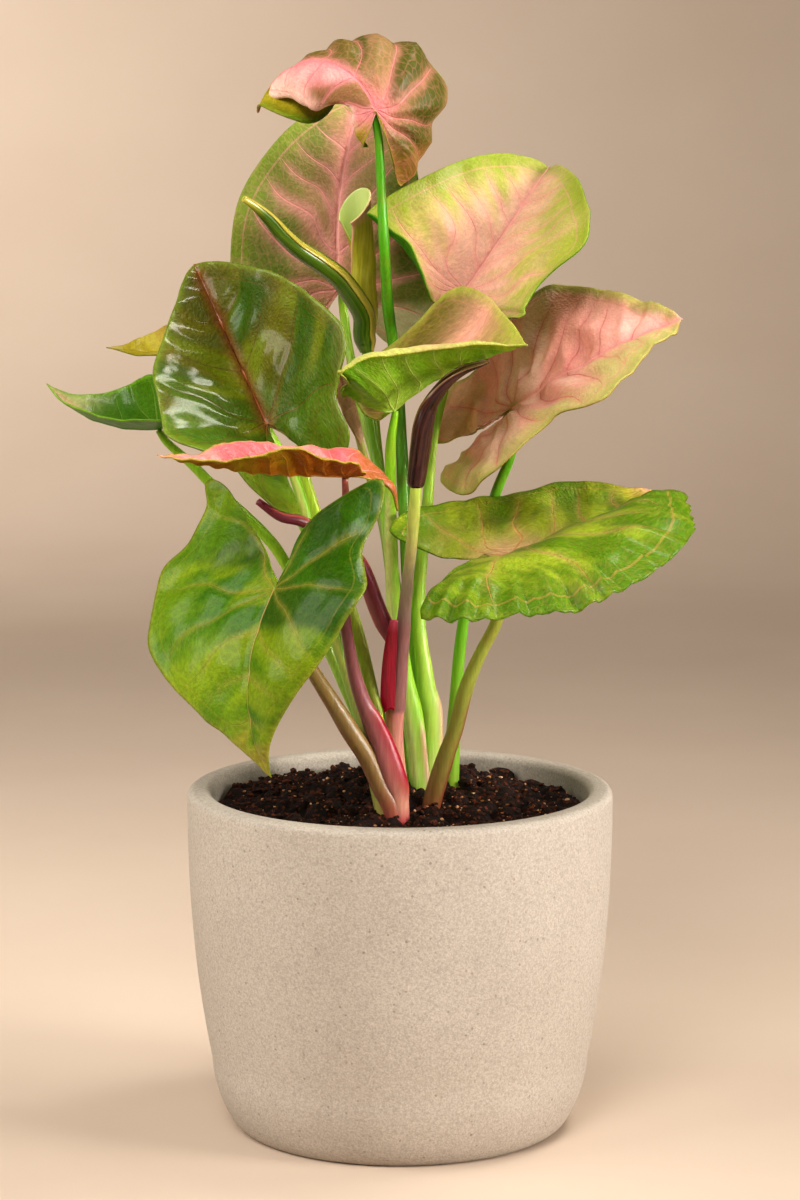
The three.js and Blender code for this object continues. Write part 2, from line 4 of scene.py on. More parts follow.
import bpy
import numpy as np
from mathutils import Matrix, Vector


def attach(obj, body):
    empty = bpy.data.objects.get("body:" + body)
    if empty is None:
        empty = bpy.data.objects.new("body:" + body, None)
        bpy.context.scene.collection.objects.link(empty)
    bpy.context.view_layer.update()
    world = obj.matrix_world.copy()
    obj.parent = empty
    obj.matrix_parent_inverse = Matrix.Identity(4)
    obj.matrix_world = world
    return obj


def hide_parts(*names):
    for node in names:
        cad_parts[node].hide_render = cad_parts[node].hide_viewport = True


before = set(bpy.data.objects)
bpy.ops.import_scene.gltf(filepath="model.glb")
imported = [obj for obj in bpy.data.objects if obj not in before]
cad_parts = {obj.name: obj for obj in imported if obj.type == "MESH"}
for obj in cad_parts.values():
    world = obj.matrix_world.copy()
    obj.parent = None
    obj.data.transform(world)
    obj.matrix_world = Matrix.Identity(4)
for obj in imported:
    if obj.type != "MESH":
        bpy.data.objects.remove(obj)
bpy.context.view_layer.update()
mm = 0.001


def deselectAll():
    for item in bpy.context.selected_objects:
        item.select_set(False)


def tint(code, alpha=1.0):  # sRGB hex to the linear values that the nodes want
    values = [int(code[i:i + 2], 16) / 255 for i in (1, 3, 5)]
    return [v / 12.92 if v <= 0.04045 else ((v + 0.055) / 1.055) ** 2.4 for v in values] + [alpha]


def addNode(tree, kind, settings=None, links=None):
    node = tree.nodes.new(kind)
    for key, value in (settings or {}).items():
        if isinstance(key, str) and hasattr(node, key):
            setattr(node, key, value)
        else:
            node.inputs[key].default_value = value
    for key, value in (links or {}).items():
        tree.links.new(value, node.inputs[key])
    return node


# Short names for the kinds of node and for the settings that come back often
mathNode, vectorNode, rampNode = "ShaderNodeMath", "ShaderNodeVectorMath", "ShaderNodeMapRange"
mixNode, noiseNode, cellNode = "ShaderNodeMix", "ShaderNodeTexNoise", "ShaderNodeTexVoronoi"
placeNode, paintNode, stretchNode = "ShaderNodeTexCoord", "ShaderNodeAttribute", "ShaderNodeMapping"
partsNode, channelNode = "ShaderNodeSeparateXYZ", "ShaderNodeSeparateColor"
bumpNode, skinNode = "ShaderNodeBump", "ShaderNodeBsdfPrincipled"
times, timesPlus, minus, over, larger, greater, arcTangent, pingPong = ({"operation": kind} for kind in (
    "MULTIPLY", "MULTIPLY_ADD", "SUBTRACT", "DIVIDE", "MAXIMUM", "GREATER_THAN", "ARCTAN2", "PINGPONG"))
blend, timesColour = {"data_type": "RGBA"}, {"data_type": "RGBA", "blend_type": "MULTIPLY", 0: 1.0}
middling = {"From Min": 0.3, "From Max": 0.7}
falling = {"interpolation_type": "SMOOTHSTEP", "To Min": 1.0, "To Max": 0.0}


def makeMaterial(name, steps):  # a step: name, kind of node, settings, and links by socket to "step.outlet"
    material = bpy.data.materials.new(name)
    material.use_nodes = True
    tree = material.node_tree
    tree.nodes.clear()
    made = {}
    for key, kind, settings, links in steps:
        sources = {}
        for socket, source in links.items():
            origin, *outlet = source.split(".")
            usual = 2 if getattr(made[origin], "data_type", "") == "RGBA" else 0  # third for a colour mix
            sources[socket] = made[origin].outputs[outlet[0] if outlet else usual]
        made[key] = addNode(tree, kind, settings, sources)
    addNode(tree, "ShaderNodeOutputMaterial", {}, {"Surface": made[steps[-1][0]].outputs[0]})
    return material


def makePiece(name, points, faces, material, smooth=True):
    mesh = bpy.data.meshes.new(name)
    mesh.from_pydata([tuple(p) for p in points], [], faces)
    mesh.validate()
    mesh.polygons.foreach_set("use_smooth", [smooth] * len(mesh.polygons))
    mesh.materials.append(material)
    piece = bpy.data.objects.new(name, mesh)
    bpy.context.scene.collection.objects.link(piece)
    return piece


def storeValues(piece, name, kind, values):
    layer = piece.data.attributes.new(name, kind, "POINT")
    slot = {"FLOAT": "value", "FLOAT_VECTOR": "vector", "FLOAT_COLOR": "color"}[kind]
    layer.data.foreach_set(slot, np.asarray(values, np.float32).ravel())


def smooth(value):
    value = np.clip(value, 0, 1)
    return value * value * (3 - 2 * value)


def ringFaces(rows, n):  # quads between closed rings of n points
    return [(r * n + k, r * n + (k + 1) % n, (r + 1) * n + (k + 1) % n, (r + 1) * n + k)
            for r in range(rows - 1) for k in range(n)]


def unitRows(vectors):
    return vectors / np.linalg.norm(vectors, axis=1)[:, None]


# The camera stands where the photograph was taken from: 1.2 m back, looking 8.6 degrees down
cameraSettings = {"place": (0, -1.2, 0.3575), "down": 8.64, "lens": 111.4, "sensor": 36, "nearest": 0.05}

bpy.ops.object.camera_add(location=cameraSettings["place"],
                          rotation=(math.radians(90 - cameraSettings["down"]), 0, 0))
camera = bpy.context.object
camera.name = "photoCamera"
camera.data.sensor_fit = "VERTICAL"
camera.data.sensor_height = cameraSettings["sensor"]
camera.data.lens = cameraSettings["lens"]
camera.data.clip_start = cameraSettings["nearest"]
bpy.context.scene.camera = camera

# A broad window at the left lights everything. Three narrow lamps from the right, the front and above pick
# out the leaves, and one behind the plant brightens the backdrop at the left
lightSettings = {  # place and aim in metres, size in metres, power in watts, spread in degrees, colour
    "windowKey": ((-1.4, -0.4, 0.9), (0, 0, 0.2), 1.2, 20, 180, "#fffaf2"),
    "sideFill": ((1.25, -0.5, 0.55), (0, 0, 0.26), 0.6, 2.0, 36, "#fffaf4"),
    "frontFill": ((-0.4, -1.5, 1.6), (0, 0, 0.24), 0.9, 2.5, 45, "#fffaf6"),
    "topGlow": ((0.55, 0.1, 1.5), (0, 0, 0.2), 0.45, 1.3, 60, "#fff9f0"),
    "wallWash": ((-0.85, 0.75, 0.9), (-0.4, 1.9, 0.3), 0.4, 4.2, 90, "#fffaf4"),
}
for name, (place, aim, size, power, spread, colour) in lightSettings.items():
    bpy.ops.object.light_add(type="AREA", location=place)
    lamp = bpy.context.object
    lamp.name = name
    lamp.data.shape = "SQUARE"
    lamp.data.size = size
    lamp.data.energy = power
    lamp.data.color = tint(colour)[:3]
    lamp.data.spread = math.radians(spread)
    lamp.rotation_euler = (Vector(aim) - Vector(place)).to_track_quat("-Z", "Y").to_euler()

roomSettings = {"colour": "#f1ece6", "strength": 0.36, "look": "Medium High Contrast", "exposure": -0.16}

room = bpy.data.worlds.new("paleRoom")
room.use_nodes = True
room.node_tree.nodes["Background"].inputs["Color"].default_value = tint(roomSettings["colour"])
room.node_tree.nodes["Background"].inputs["Strength"].default_value = roomSettings["strength"]
bpy.context.scene.world = room
bpy.context.scene.view_settings.view_transform = "Standard"
bpy.context.scene.view_settings.look = roomSettings["look"]  # the crisp darks of a studio picture
bpy.context.scene.view_settings.exposure = roomSettings["exposure"]
print("camera and lights ready")


# Floor: one matt pale sheet that curves up behind the plant, so the eye sees a soft surface, in metres
floorSettings = {"near": -3.0, "bend": 1.2, "curve": 0.8, "top": 3.0, "half": 4.0, "below": 0.0002,
                 "curveSteps": 16, "shade": "#c3b09e", "paleShade": "#cdbcab"}


def makeFloor():
    f = floorSettings
    material = makeMaterial("paleMattFloor", [
        ("place", placeNode, {}, {}),
        ("cloud", noiseNode, {"Scale": 7.0, "Detail": 5.0}, {"Vector": "place.Object"}),
        ("shade", mixNode, {**blend, 6: tint(f["shade"]), 7: tint(f["paleShade"])}, {0: "cloud"}),
        ("skin", skinNode, {"Roughness": 0.9, "Specular IOR Level": 0.2}, {"Base Color": "shade"}),
    ])
    curve, below = f["curve"], f["below"]
    profile = [(f["near"], -below)]
    for i in range(f["curveSteps"] + 1):
        angle = math.pi / 2 * i / f["curveSteps"]
        profile.append((f["bend"] + curve * math.sin(angle), curve * (1 - math.cos(angle)) - below))
    profile.append((f["bend"] + curve, f["top"]))
    points = [(x, y, z) for y, z in profile for x in (-f["half"], f["half"])]
    faces = [(2 * i, 2 * i + 1, 2 * i + 3, 2 * i + 2) for i in range(len(profile) - 1)]
    makePiece("paleFloor", points, faces, material)


makeFloor()

# Pot: thrown stoneware, unglazed and sanded, in millimetres
potShape = {
    "height": 113, "radius": 70, "wall": 8, "floor": 9, "foot": 52.5, "filletHeight": 23,
    "filletRadius": 62.4, "sidePower": 2.37, "filletPower": 1.6, "rimRound": 2.5, "innerRound": 14,
    "turns": 160, "clay": "#aa9f93", "paleClay": "#bbb2a6", "darkClay": "#8b8075", "speck": "#7c6c60",
    "speckCell": 1.89, "grain": 0.35, "steps": {"fillet": 12, "side": 16, "rim": 8, "inside": 22},
}


def potOutside(z):
    p = potShape
    share = (p["height"] - z) / (p["height"] - p["filletHeight"])
    return p["radius"] - (p["radius"] - p["filletRadius"]) * share ** p["sidePower"]


def potInside(z):
    p = potShape
    low = p["floor"] + p["innerRound"]
    if z >= low:
        return potOutside(z) - p["wall"]
    drop = (low - z) / p["innerRound"]
    return potOutside(low) - p["wall"] - p["innerRound"] * (1 - math.sqrt(max(1 - drop * drop, 0)))


def makeStoneware():  # matt fired clay with fine sand and iron specks, which reads as warm grey stone
    p = potShape
    place = {"Vector": "place.Object"}
    return makeMaterial("sandedStoneware", [
        ("place", placeNode, {}, {}),
        ("cloud", noiseNode, {"Scale": 28.0, "Detail": 6.0, "Roughness": 0.6}, place),
        ("mottle", noiseNode, {"Scale": 900.0, "Detail": 3.0, "Roughness": 0.65}, place),
        ("grain", noiseNode, {"Scale": 0.6 / (p["grain"] * mm), "Detail": 2.0}, place),
        ("cells", cellNode, {"Scale": 1 / (p["speckCell"] * mm)}, place),
        ("body", mixNode, {**blend, 6: tint(p["clay"]), 7: tint(p["paleClay"])}, {0: "cloud"}),
        ("dusk", rampNode, {"From Min": 0.42, "From Max": 0.72, "To Max": 0.45}, {0: "mottle"}),
        ("toned", mixNode, {**blend, 7: tint(p["darkClay"])}, {0: "dusk", 6: "body"}),
        ("pick", channelNode, {}, {0: "cells.Color"}),
        ("near", rampNode, {"From Min": 0.16, "From Max": 0.3, "To Min": 1.0, "To Max": 0.0}, {0: "cells"}),
        ("chosen", rampNode, {"From Min": 0.82, "From Max": 1.0}, {0: "pick"}),  # few cells hold a speck
        ("speck", mathNode, times, {0: "near", 1: "chosen"}),
        ("soft", mathNode, {**times, 1: 0.6}, {0: "speck"}),
        ("flecked", mixNode, {**blend, 7: tint(p["speck"])}, {0: "soft", 6: "toned"}),
        ("sand", rampNode, {**middling, "To Min": 0.84, "To Max": 1.12}, {0: "grain"}),
        ("sanded", mixNode, timesColour, {6: "flecked", 7: "sand"}),
        ("height", mathNode, {**timesPlus, 1: 0.5}, {0: "grain", 2: "mottle"}),
        ("pits", mathNode, minus, {0: "height", 1: "speck"}),
        ("bump", bumpNode, {"Strength": 0.35, "Distance": 0.0004}, {"Height": "pits"}),
        ("skin", skinNode, {"Roughness": 0.78, "IOR": 1.5, "Specular IOR Level": 0.35},
         {"Base Color": "sanded", "Normal": "bump"}),
    ])


def makePot(material):
    p, steps = potShape, potShape["steps"]
    power, top = 2 / p["filletPower"], p["height"] - p["rimRound"]
    profile = [(0, 0), (p["foot"] * 0.5, 0), (p["foot"], 0)]
    for i in range(1, steps["fillet"] + 1):
        angle = math.pi / 2 * i / steps["fillet"]
        profile.append((p["foot"] + (p["filletRadius"] - p["foot"]) * math.sin(angle) ** power,
                        p["filletHeight"] * (1 - math.cos(angle) ** power)))
    profile += [(potOutside(z), z) for z in np.linspace(p["filletHeight"], top, steps["side"])[1:-1]]
    bend = p["rimRound"]
    for centre, start in ((p["radius"] - bend, 0), (p["radius"] - p["wall"] + bend, 1)):
        for i in range(steps["rim"] + 1):
            angle = math.pi / 2 * (start + i / steps["rim"])
            profile.append((centre + bend * math.cos(angle), top + bend * math.sin(angle)))
    profile += [(potInside(z), z) for z in np.linspace(top, p["floor"], steps["inside"])[1:]]
    profile.append((0, p["floor"]))
    mesh = bpy.data.meshes.new("stonewarePot")
    points = [(r * mm, 0, z * mm) for r, z in profile]
    mesh.from_pydata(points, [(i, i + 1) for i in range(len(points) - 1)], [])
    pot = bpy.data.objects.new("stonewarePot", mesh)
    bpy.context.scene.collection.objects.link(pot)
    deselectAll()
    pot.select_set(True)
    bpy.context.view_layer.objects.active = pot
    bpy.ops.object.mode_set(mode="EDIT")
    bpy.ops.mesh.select_all(action="SELECT")
    bpy.ops.mesh.spin(steps=p["turns"], angle=2 * math.pi, center=(0, 0, 0), axis=(0, 0, 1),
                      use_auto_merge=True)
    bpy.ops.mesh.select_all(action="SELECT")
    bpy.ops.mesh.remove_doubles(threshold=0.00001)
    bpy.ops.mesh.normals_make_consistent(inside=False)
    bpy.ops.object.mode_set(mode="OBJECT")
    pot.data.materials.append(material)
    bpy.ops.object.shade_smooth_by_angle(angle=math.radians(50))
    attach(pot, "root")
    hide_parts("pot")


makePot(makeStoneware())
print("pot ready")

# Soil: dark peat in clods, with bark crumbs and many tan specks, in millimetres
soilShape = {
    "level": 104.5, "mound": 7.5, "moundBack": 20, "moundWidth": 32, "lump": 1.2, "gap": 0.4, "sink": 1.1,
    "dip": 1.2, "dipWidth": 2.5, "levels": (98, 70, 23, potShape["floor"] + 0.3), "rings": 110, "sides": 340,
    "clods": 850, "clodSize": (1.4, 5.4), "crumbGap": 2.5, "peat": "#0e0502", "dryPeat": "#2a1309",
    "bark": "#6e3517",
}
crumbKinds = {  # finish, how many, smallest and largest size in mm, dark, light and fleck colour, seed
    "barkCrumbs": ("barkAndPeat", 1500, (0.4, 1.5), "#1d0d06", "#4a2411", "#7a3d1c", 21),
    "tanSpecks": ("tanFibres", 520, (0.26, 0.75), "#a86a38", "#d9b088", "#f0d6b0", 33),
}


def soilTop(x, y):
    s = soilShape
    mound = s["mound"] * np.exp(-(x * x + (y - s["moundBack"]) ** 2) / (2 * s["moundWidth"] ** 2))
    rolling = np.sin(x * 0.31 + 1.3) * np.cos(y * 0.27 - 0.6) + 0.6 * np.sin(x * 0.7 - y * 0.55)
    return s["level"] + mound + s["lump"] * 0.5 * rolling + clodHeight(x, y)


def clodHeight(x, y):  # half-buried lumps of many sizes, the highest one wins at each place
    s = soilShape
    edge = potInside(s["level"])
    height = np.full(np.shape(x), -s["sink"])
    dice = random.Random(8)
    for i in range(s["clods"]):
        r, angle = edge * math.sqrt(dice.random()), dice.uniform(0, 2 * math.pi)
        size = s["clodSize"][0] + (s["clodSize"][1] - s["clodSize"][0]) * dice.random() ** 2.2
        turn, squash = dice.uniform(0, math.pi), dice.uniform(1, 1.7)
        dx, dy = x - r * math.cos(angle), y - r * math.sin(angle)
        along = dx * math.cos(turn) + dy * math.sin(turn)
        away = (along ** 2 + ((dy * math.cos(turn) - dx * math.sin(turn)) * squash) ** 2) / size ** 2
        dome = size * dice.uniform(0.4, 0.85) * np.sqrt(np.clip(1 - away, 0, 1))
        height = np.maximum(height, dome - s["sink"])
    return height


def makePeat(name, dark, light, fleck):  # moist peat, rough with a faint damp sheen
    place = {"Vector": "place.Object"}
    return makeMaterial(name, [
        ("place", placeNode, {}, {}),
        ("clod", noiseNode, {"Scale": 420.0, "Detail": 6.0, "Roughness": 0.75}, place),
        ("dust", cellNode, {"Scale": 1100.0}, place),
        ("dry", rampNode, {"From Min": 0.42, "From Max": 0.66}, {0: "clod"}),
        ("body", mixNode, {**blend, 6: tint(dark), 7: tint(light)}, {0: "dry"}),
        ("pick", channelNode, {}, {0: "dust.Color"}),
        ("rare", rampNode, {"From Min": 0.8, "From Max": 1.0, "To Max": 0.8}, {0: "pick"}),
        ("flecked", mixNode, {**blend, 7: tint(fleck)}, {0: "rare", 6: "body"}),
        ("bump", bumpNode, {"Strength": 1.0, "Distance": 0.001}, {"Height": "clod"}),
        ("skin", skinNode, {"Roughness": 0.75, "Specular IOR Level": 0.25},
         {"Base Color": "flecked", "Normal": "bump"}),
    ])


def makeSoil():
    s = soilShape
    n = s["sides"]
    edge = potInside(s["level"]) - s["gap"]
    angles = np.linspace(0, 2 * np.pi, n, endpoint=False)
    radii = np.repeat(np.linspace(1, 0.02, s["rings"]) * edge, n)
    x, y = radii * np.tile(np.cos(angles), s["rings"]), radii * np.tile(np.sin(angles), s["rings"])
    z = soilTop(x, y) - s["dip"] * (1 - smooth((edge - radii) / s["dipWidth"]))  # lower beside the wall
    points = list(zip(x * mm, y * mm, z * mm))
    below = len(points)
    for level in s["levels"]:
        r = potInside(level) - s["gap"]
        points += list(zip(r * np.cos(angles) * mm, r * np.sin(angles) * mm, angles * 0 + level * mm))
    faces = ringFaces(s["rings"], n)
    faces.append(tuple((s["rings"] - 1) * n + k for k in range(n)))
    chain = [0] + [below + i * n for i in range(len(s["levels"]))]
    for a, b in zip(chain, chain[1:]):
        faces += [(b + k, b + (k + 1) % n, a + (k + 1) % n, a + k) for k in range(n)]
    faces.append(tuple(chain[-1] + k for k in reversed(range(n))))
    peat = makePeat("moistPeat", s["peat"], s["dryPeat"], s["bark"])
    soil = makePiece("pottingSoil", points, faces, peat)
    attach(soil, "root")
    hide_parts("soil")


def makeCrumbs(name, finish, count, sizes, dark, light, fleck, seed):
    dice = random.Random(seed)
    deselectAll()
    bpy.ops.mesh.primitive_ico_sphere_add(subdivisions=1, radius=1, location=(0, 0, 0))
    model = bpy.context.object
    corners = [v.co.copy() for v in model.data.vertices]
    patches = [tuple(p.vertices) for p in model.data.polygons]
    bpy.data.objects.remove(model)
    edge = potInside(soilShape["level"]) - soilShape["crumbGap"]
    spots = []
    for i in range(count):
        r, angle = edge * math.sqrt(dice.random()), dice.uniform(0, 2 * math.pi)
        spots.append((r * math.cos(angle), r * math.sin(angle)))
    ground = soilTop(*np.array(spots).T)
    points, faces = [], []
    for (x, y), level in zip(spots, ground):
        size = sizes[0] + (sizes[1] - sizes[0]) * dice.random() ** 2.6
        z = level + size * 0.35
        stretch = Vector((dice.uniform(0.6, 1.5), dice.uniform(0.6, 1.2), dice.uniform(0.45, 0.9)))
        turn = dice.uniform(0, math.pi)
        start = len(points)
        for corner in corners:
            lump = Vector([c * s * size * dice.uniform(0.75, 1.2) for c, s in zip(corner, stretch)])
            points.append(((x + lump.x * math.cos(turn) - lump.y * math.sin(turn)) * mm,
                           (y + lump.x * math.sin(turn) + lump.y * math.cos(turn)) * mm, (z + lump.z) * mm))
        faces += [tuple(start + k for k in patch) for patch in patches]
    crumbs = makePiece(name, points, faces, makePeat(finish, dark, light, fleck), smooth=False)
    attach(crumbs, "root")


makeSoil()
for name, plan in crumbKinds.items():
    makeCrumbs(name, *plan)
print("soil ready")

# Leaves: each blade is drawn flat in millimetres, then folded and bent as in the solid model
leafShapes = {  # millimetres and degrees, left and right half
    "blade_top": dict(
        at=[-8, 4, 334], length=59, width=[10, 36], lobe=[13, 28], spread=[0.8, 0.25], full=0.72,
        azimuth=188, pitch=74, roll=-59, bend=136, bendRun=-21, back=30, sweep=-50,
        fold=[-35, 36], curl=[-46, -84], lobeTurn=[-20, -6], edge=[-70, 0], tipTurn=[0, -215],
        shape=[[2.7, 2.75, 2.2, 1.0, 1.0], [1.7, 1.2, 0.96, 0.91, 1.0]],
    ),
    "blade_back_left": dict(
        at=[-20, 48, 274], length=75, width=[37, 38], lobe=[19, 21], spread=[0.51, 0.46], full=0.63,
        azimuth=62, pitch=105, roll=14, bend=63, bendRun=3, back=10, sweep=16,
        fold=[16, 10], curl=[5, 0], lobeTurn=[0, 0],
        shape=[[1.0, 1.01, 1.06, 1.0, 1.0], [1.01, 1.07, 0.91, 1.0, 1.0]],
    ),
    "blade_upper_right": dict(
        at=[21, 25, 274], length=60, width=[41, 39], lobe=[15, 17], spread=[0.27, 0.8], full=0.6,
        azimuth=23, pitch=51, roll=41, bend=36, bendRun=18, back=-36, sweep=-19,
        fold=[28, 26], curl=[18, 16], lobeTurn=[33, -5],
        shape=[[1.09, 0.97, 0.95, 0.94, 1.05], [1.17, 1.22, 1.42, 1.03, 1.01]],
    ),
    "blade_centre": dict(
        at=[-2, -13, 239], length=59, width=[36, 37], lobe=[6, 6], spread=[0.21, 0.49], full=0.9,
        azimuth=-5, pitch=44, roll=-41, bend=44, bendRun=-40, back=13, sweep=23,
        fold=[58, -30], curl=[21, 80], lobeTurn=[21, 20], edge=[0, -113],
        shape=[[1.2, 1.23, 1.42, 0.99, 0.99], [0.99, 0.97, 0.97, 0.76, 0.84]],
    ),
    "blade_right": dict(
        at=[37, 8, 237], length=66, width=[43, 38], lobe=[40, 32], spread=[0.29, 0.32], full=0.61,
        azimuth=-43, pitch=36, roll=49, bend=30, bendRun=-14, back=-9, sweep=-16,
        fold=[12, 15], curl=[-3, -8], lobeTurn=[2, -2],
        shape=[[1.07, 1.06, 1.06, 0.76, 1.06], [1.12, 1.33, 0.85, 1.07, 0.98]],
    ),
    "blade_large_left": dict(
        at=[-43, -9, 234], length=66, width=[36, 47], lobe=[32, 23], spread=[0.2, 0.45], full=0.64,
        azimuth=121, pitch=45, roll=-28, bend=-6, bendRun=4, back=46, sweep=-1,
        fold=[25, 43], curl=[4, 17], lobeTurn=[43, 4],
        shape=[[0.96, 0.98, 1.05, 0.84, 1.02], [1.09, 1.02, 0.99, 0.84, 1.02]],
    ),
    "blade_front_left": dict(
        at=[-39, -58, 187], length=62, width=[40, 53], lobe=[39, 37], spread=[0.66, 0.76], full=1.02,
        azimuth=-133, pitch=-51, roll=14, bend=71, bendRun=29, back=-19, sweep=2,
        fold=[10, 14], curl=[-34, -5], lobeTurn=[-8, 3], edge=[-19, 0], notch=[0.25, 1],
        shape=[[1.0, 1.02, 1.05, 0.79, 0.9], [0.94, 1.07, 1.13, 0.9, 0.88]],
    ),
    "blade_front_right": dict(
        at=[36, -20, 192], length=66, width=[36, 58], lobe=[33, 47], spread=[0.63, 0.78], full=0.6,
        azimuth=19, pitch=16, roll=4, bend=19, bendRun=39, back=-3, sweep=-23,
        fold=[16, 33], curl=[7, -79], lobeTurn=[22, 11],
        shape=[[1.0, 1.1, 0.95, 1, 1], [1.03, 1.12, 1.05, 1, 1]],
    ),
    "blade_edge_left": dict(
        at=[-17, -58, 223], length=62, width=[10, 14], lobe=[5, 22], spread=[0.4, 0.48], full=0.9,
        azimuth=197, pitch=4, roll=0, bend=-14, bendRun=-14, back=70, sweep=-10,
        fold=[30, 34], curl=[4, -7], lobeTurn=[0, 0], tipTurn=[-30, 0],
        shape=[[1.7, 2.1, 2.0, 0.8, 0.7], [1.5, 1.65, 1.2, 0.9, 1.0]],
    ),
    "blade_far_left": dict(
        at=[-79, 8, 231], length=42, width=[21, 27], lobe=[12, 12], spread=[0.5, 0.5], full=1.04,
        azimuth=-170, pitch=-5, roll=3, bend=-55, bendRun=-11, back=0, sweep=34,
        fold=[8, 27], curl=[4, 20], lobeTurn=[0, 0],
    ),
    "blade_small_left": dict(
        at=[-68, 34, 255], length=30, width=[13, 14], lobe=[9, 9], spread=[0.5, 0.5], full=1,
        azimuth=184, pitch=-12, roll=-20, bend=-25, bendRun=0, back=0, sweep=0,
        fold=[20, 20], curl=[0, 0], lobeTurn=[0, 0],
    ),
    "blade_behind_stems": dict(
        at=[-18, 50, 242], length=22, width=[11, 11], lobe=[8, 8], spread=[0.5, 0.5], full=0.8,
        azimuth=-20, pitch=-72, roll=15, bend=10, bendRun=0, back=10, sweep=0,
        fold=[10, 10], curl=[0, 0], lobeTurn=[0, 0],
    ),
}
frontShape = [(0, 1), (0.045, 0.94), (0.19, 0.8), (0.48, 0.6), (0.78, 0.36), (0.96, 0.13)]
bladeMesh = {"perSpan": 8, "rings": 44, "ringPower": 0.85, "spineSteps": 96, "solidSteps": 24, "cuts": 36,
             "thickness": 0.62, "edgeFrom": 0.7, "outerPoints": 10, "ribWidth": 1.2, "groove": 0.25,
             "ridge": 0.5}


def wash(colour, amount, **where):  # a soft layer of pigment, how much of it, and where it lies
    return {"colour": colour, "amount": amount, **where}


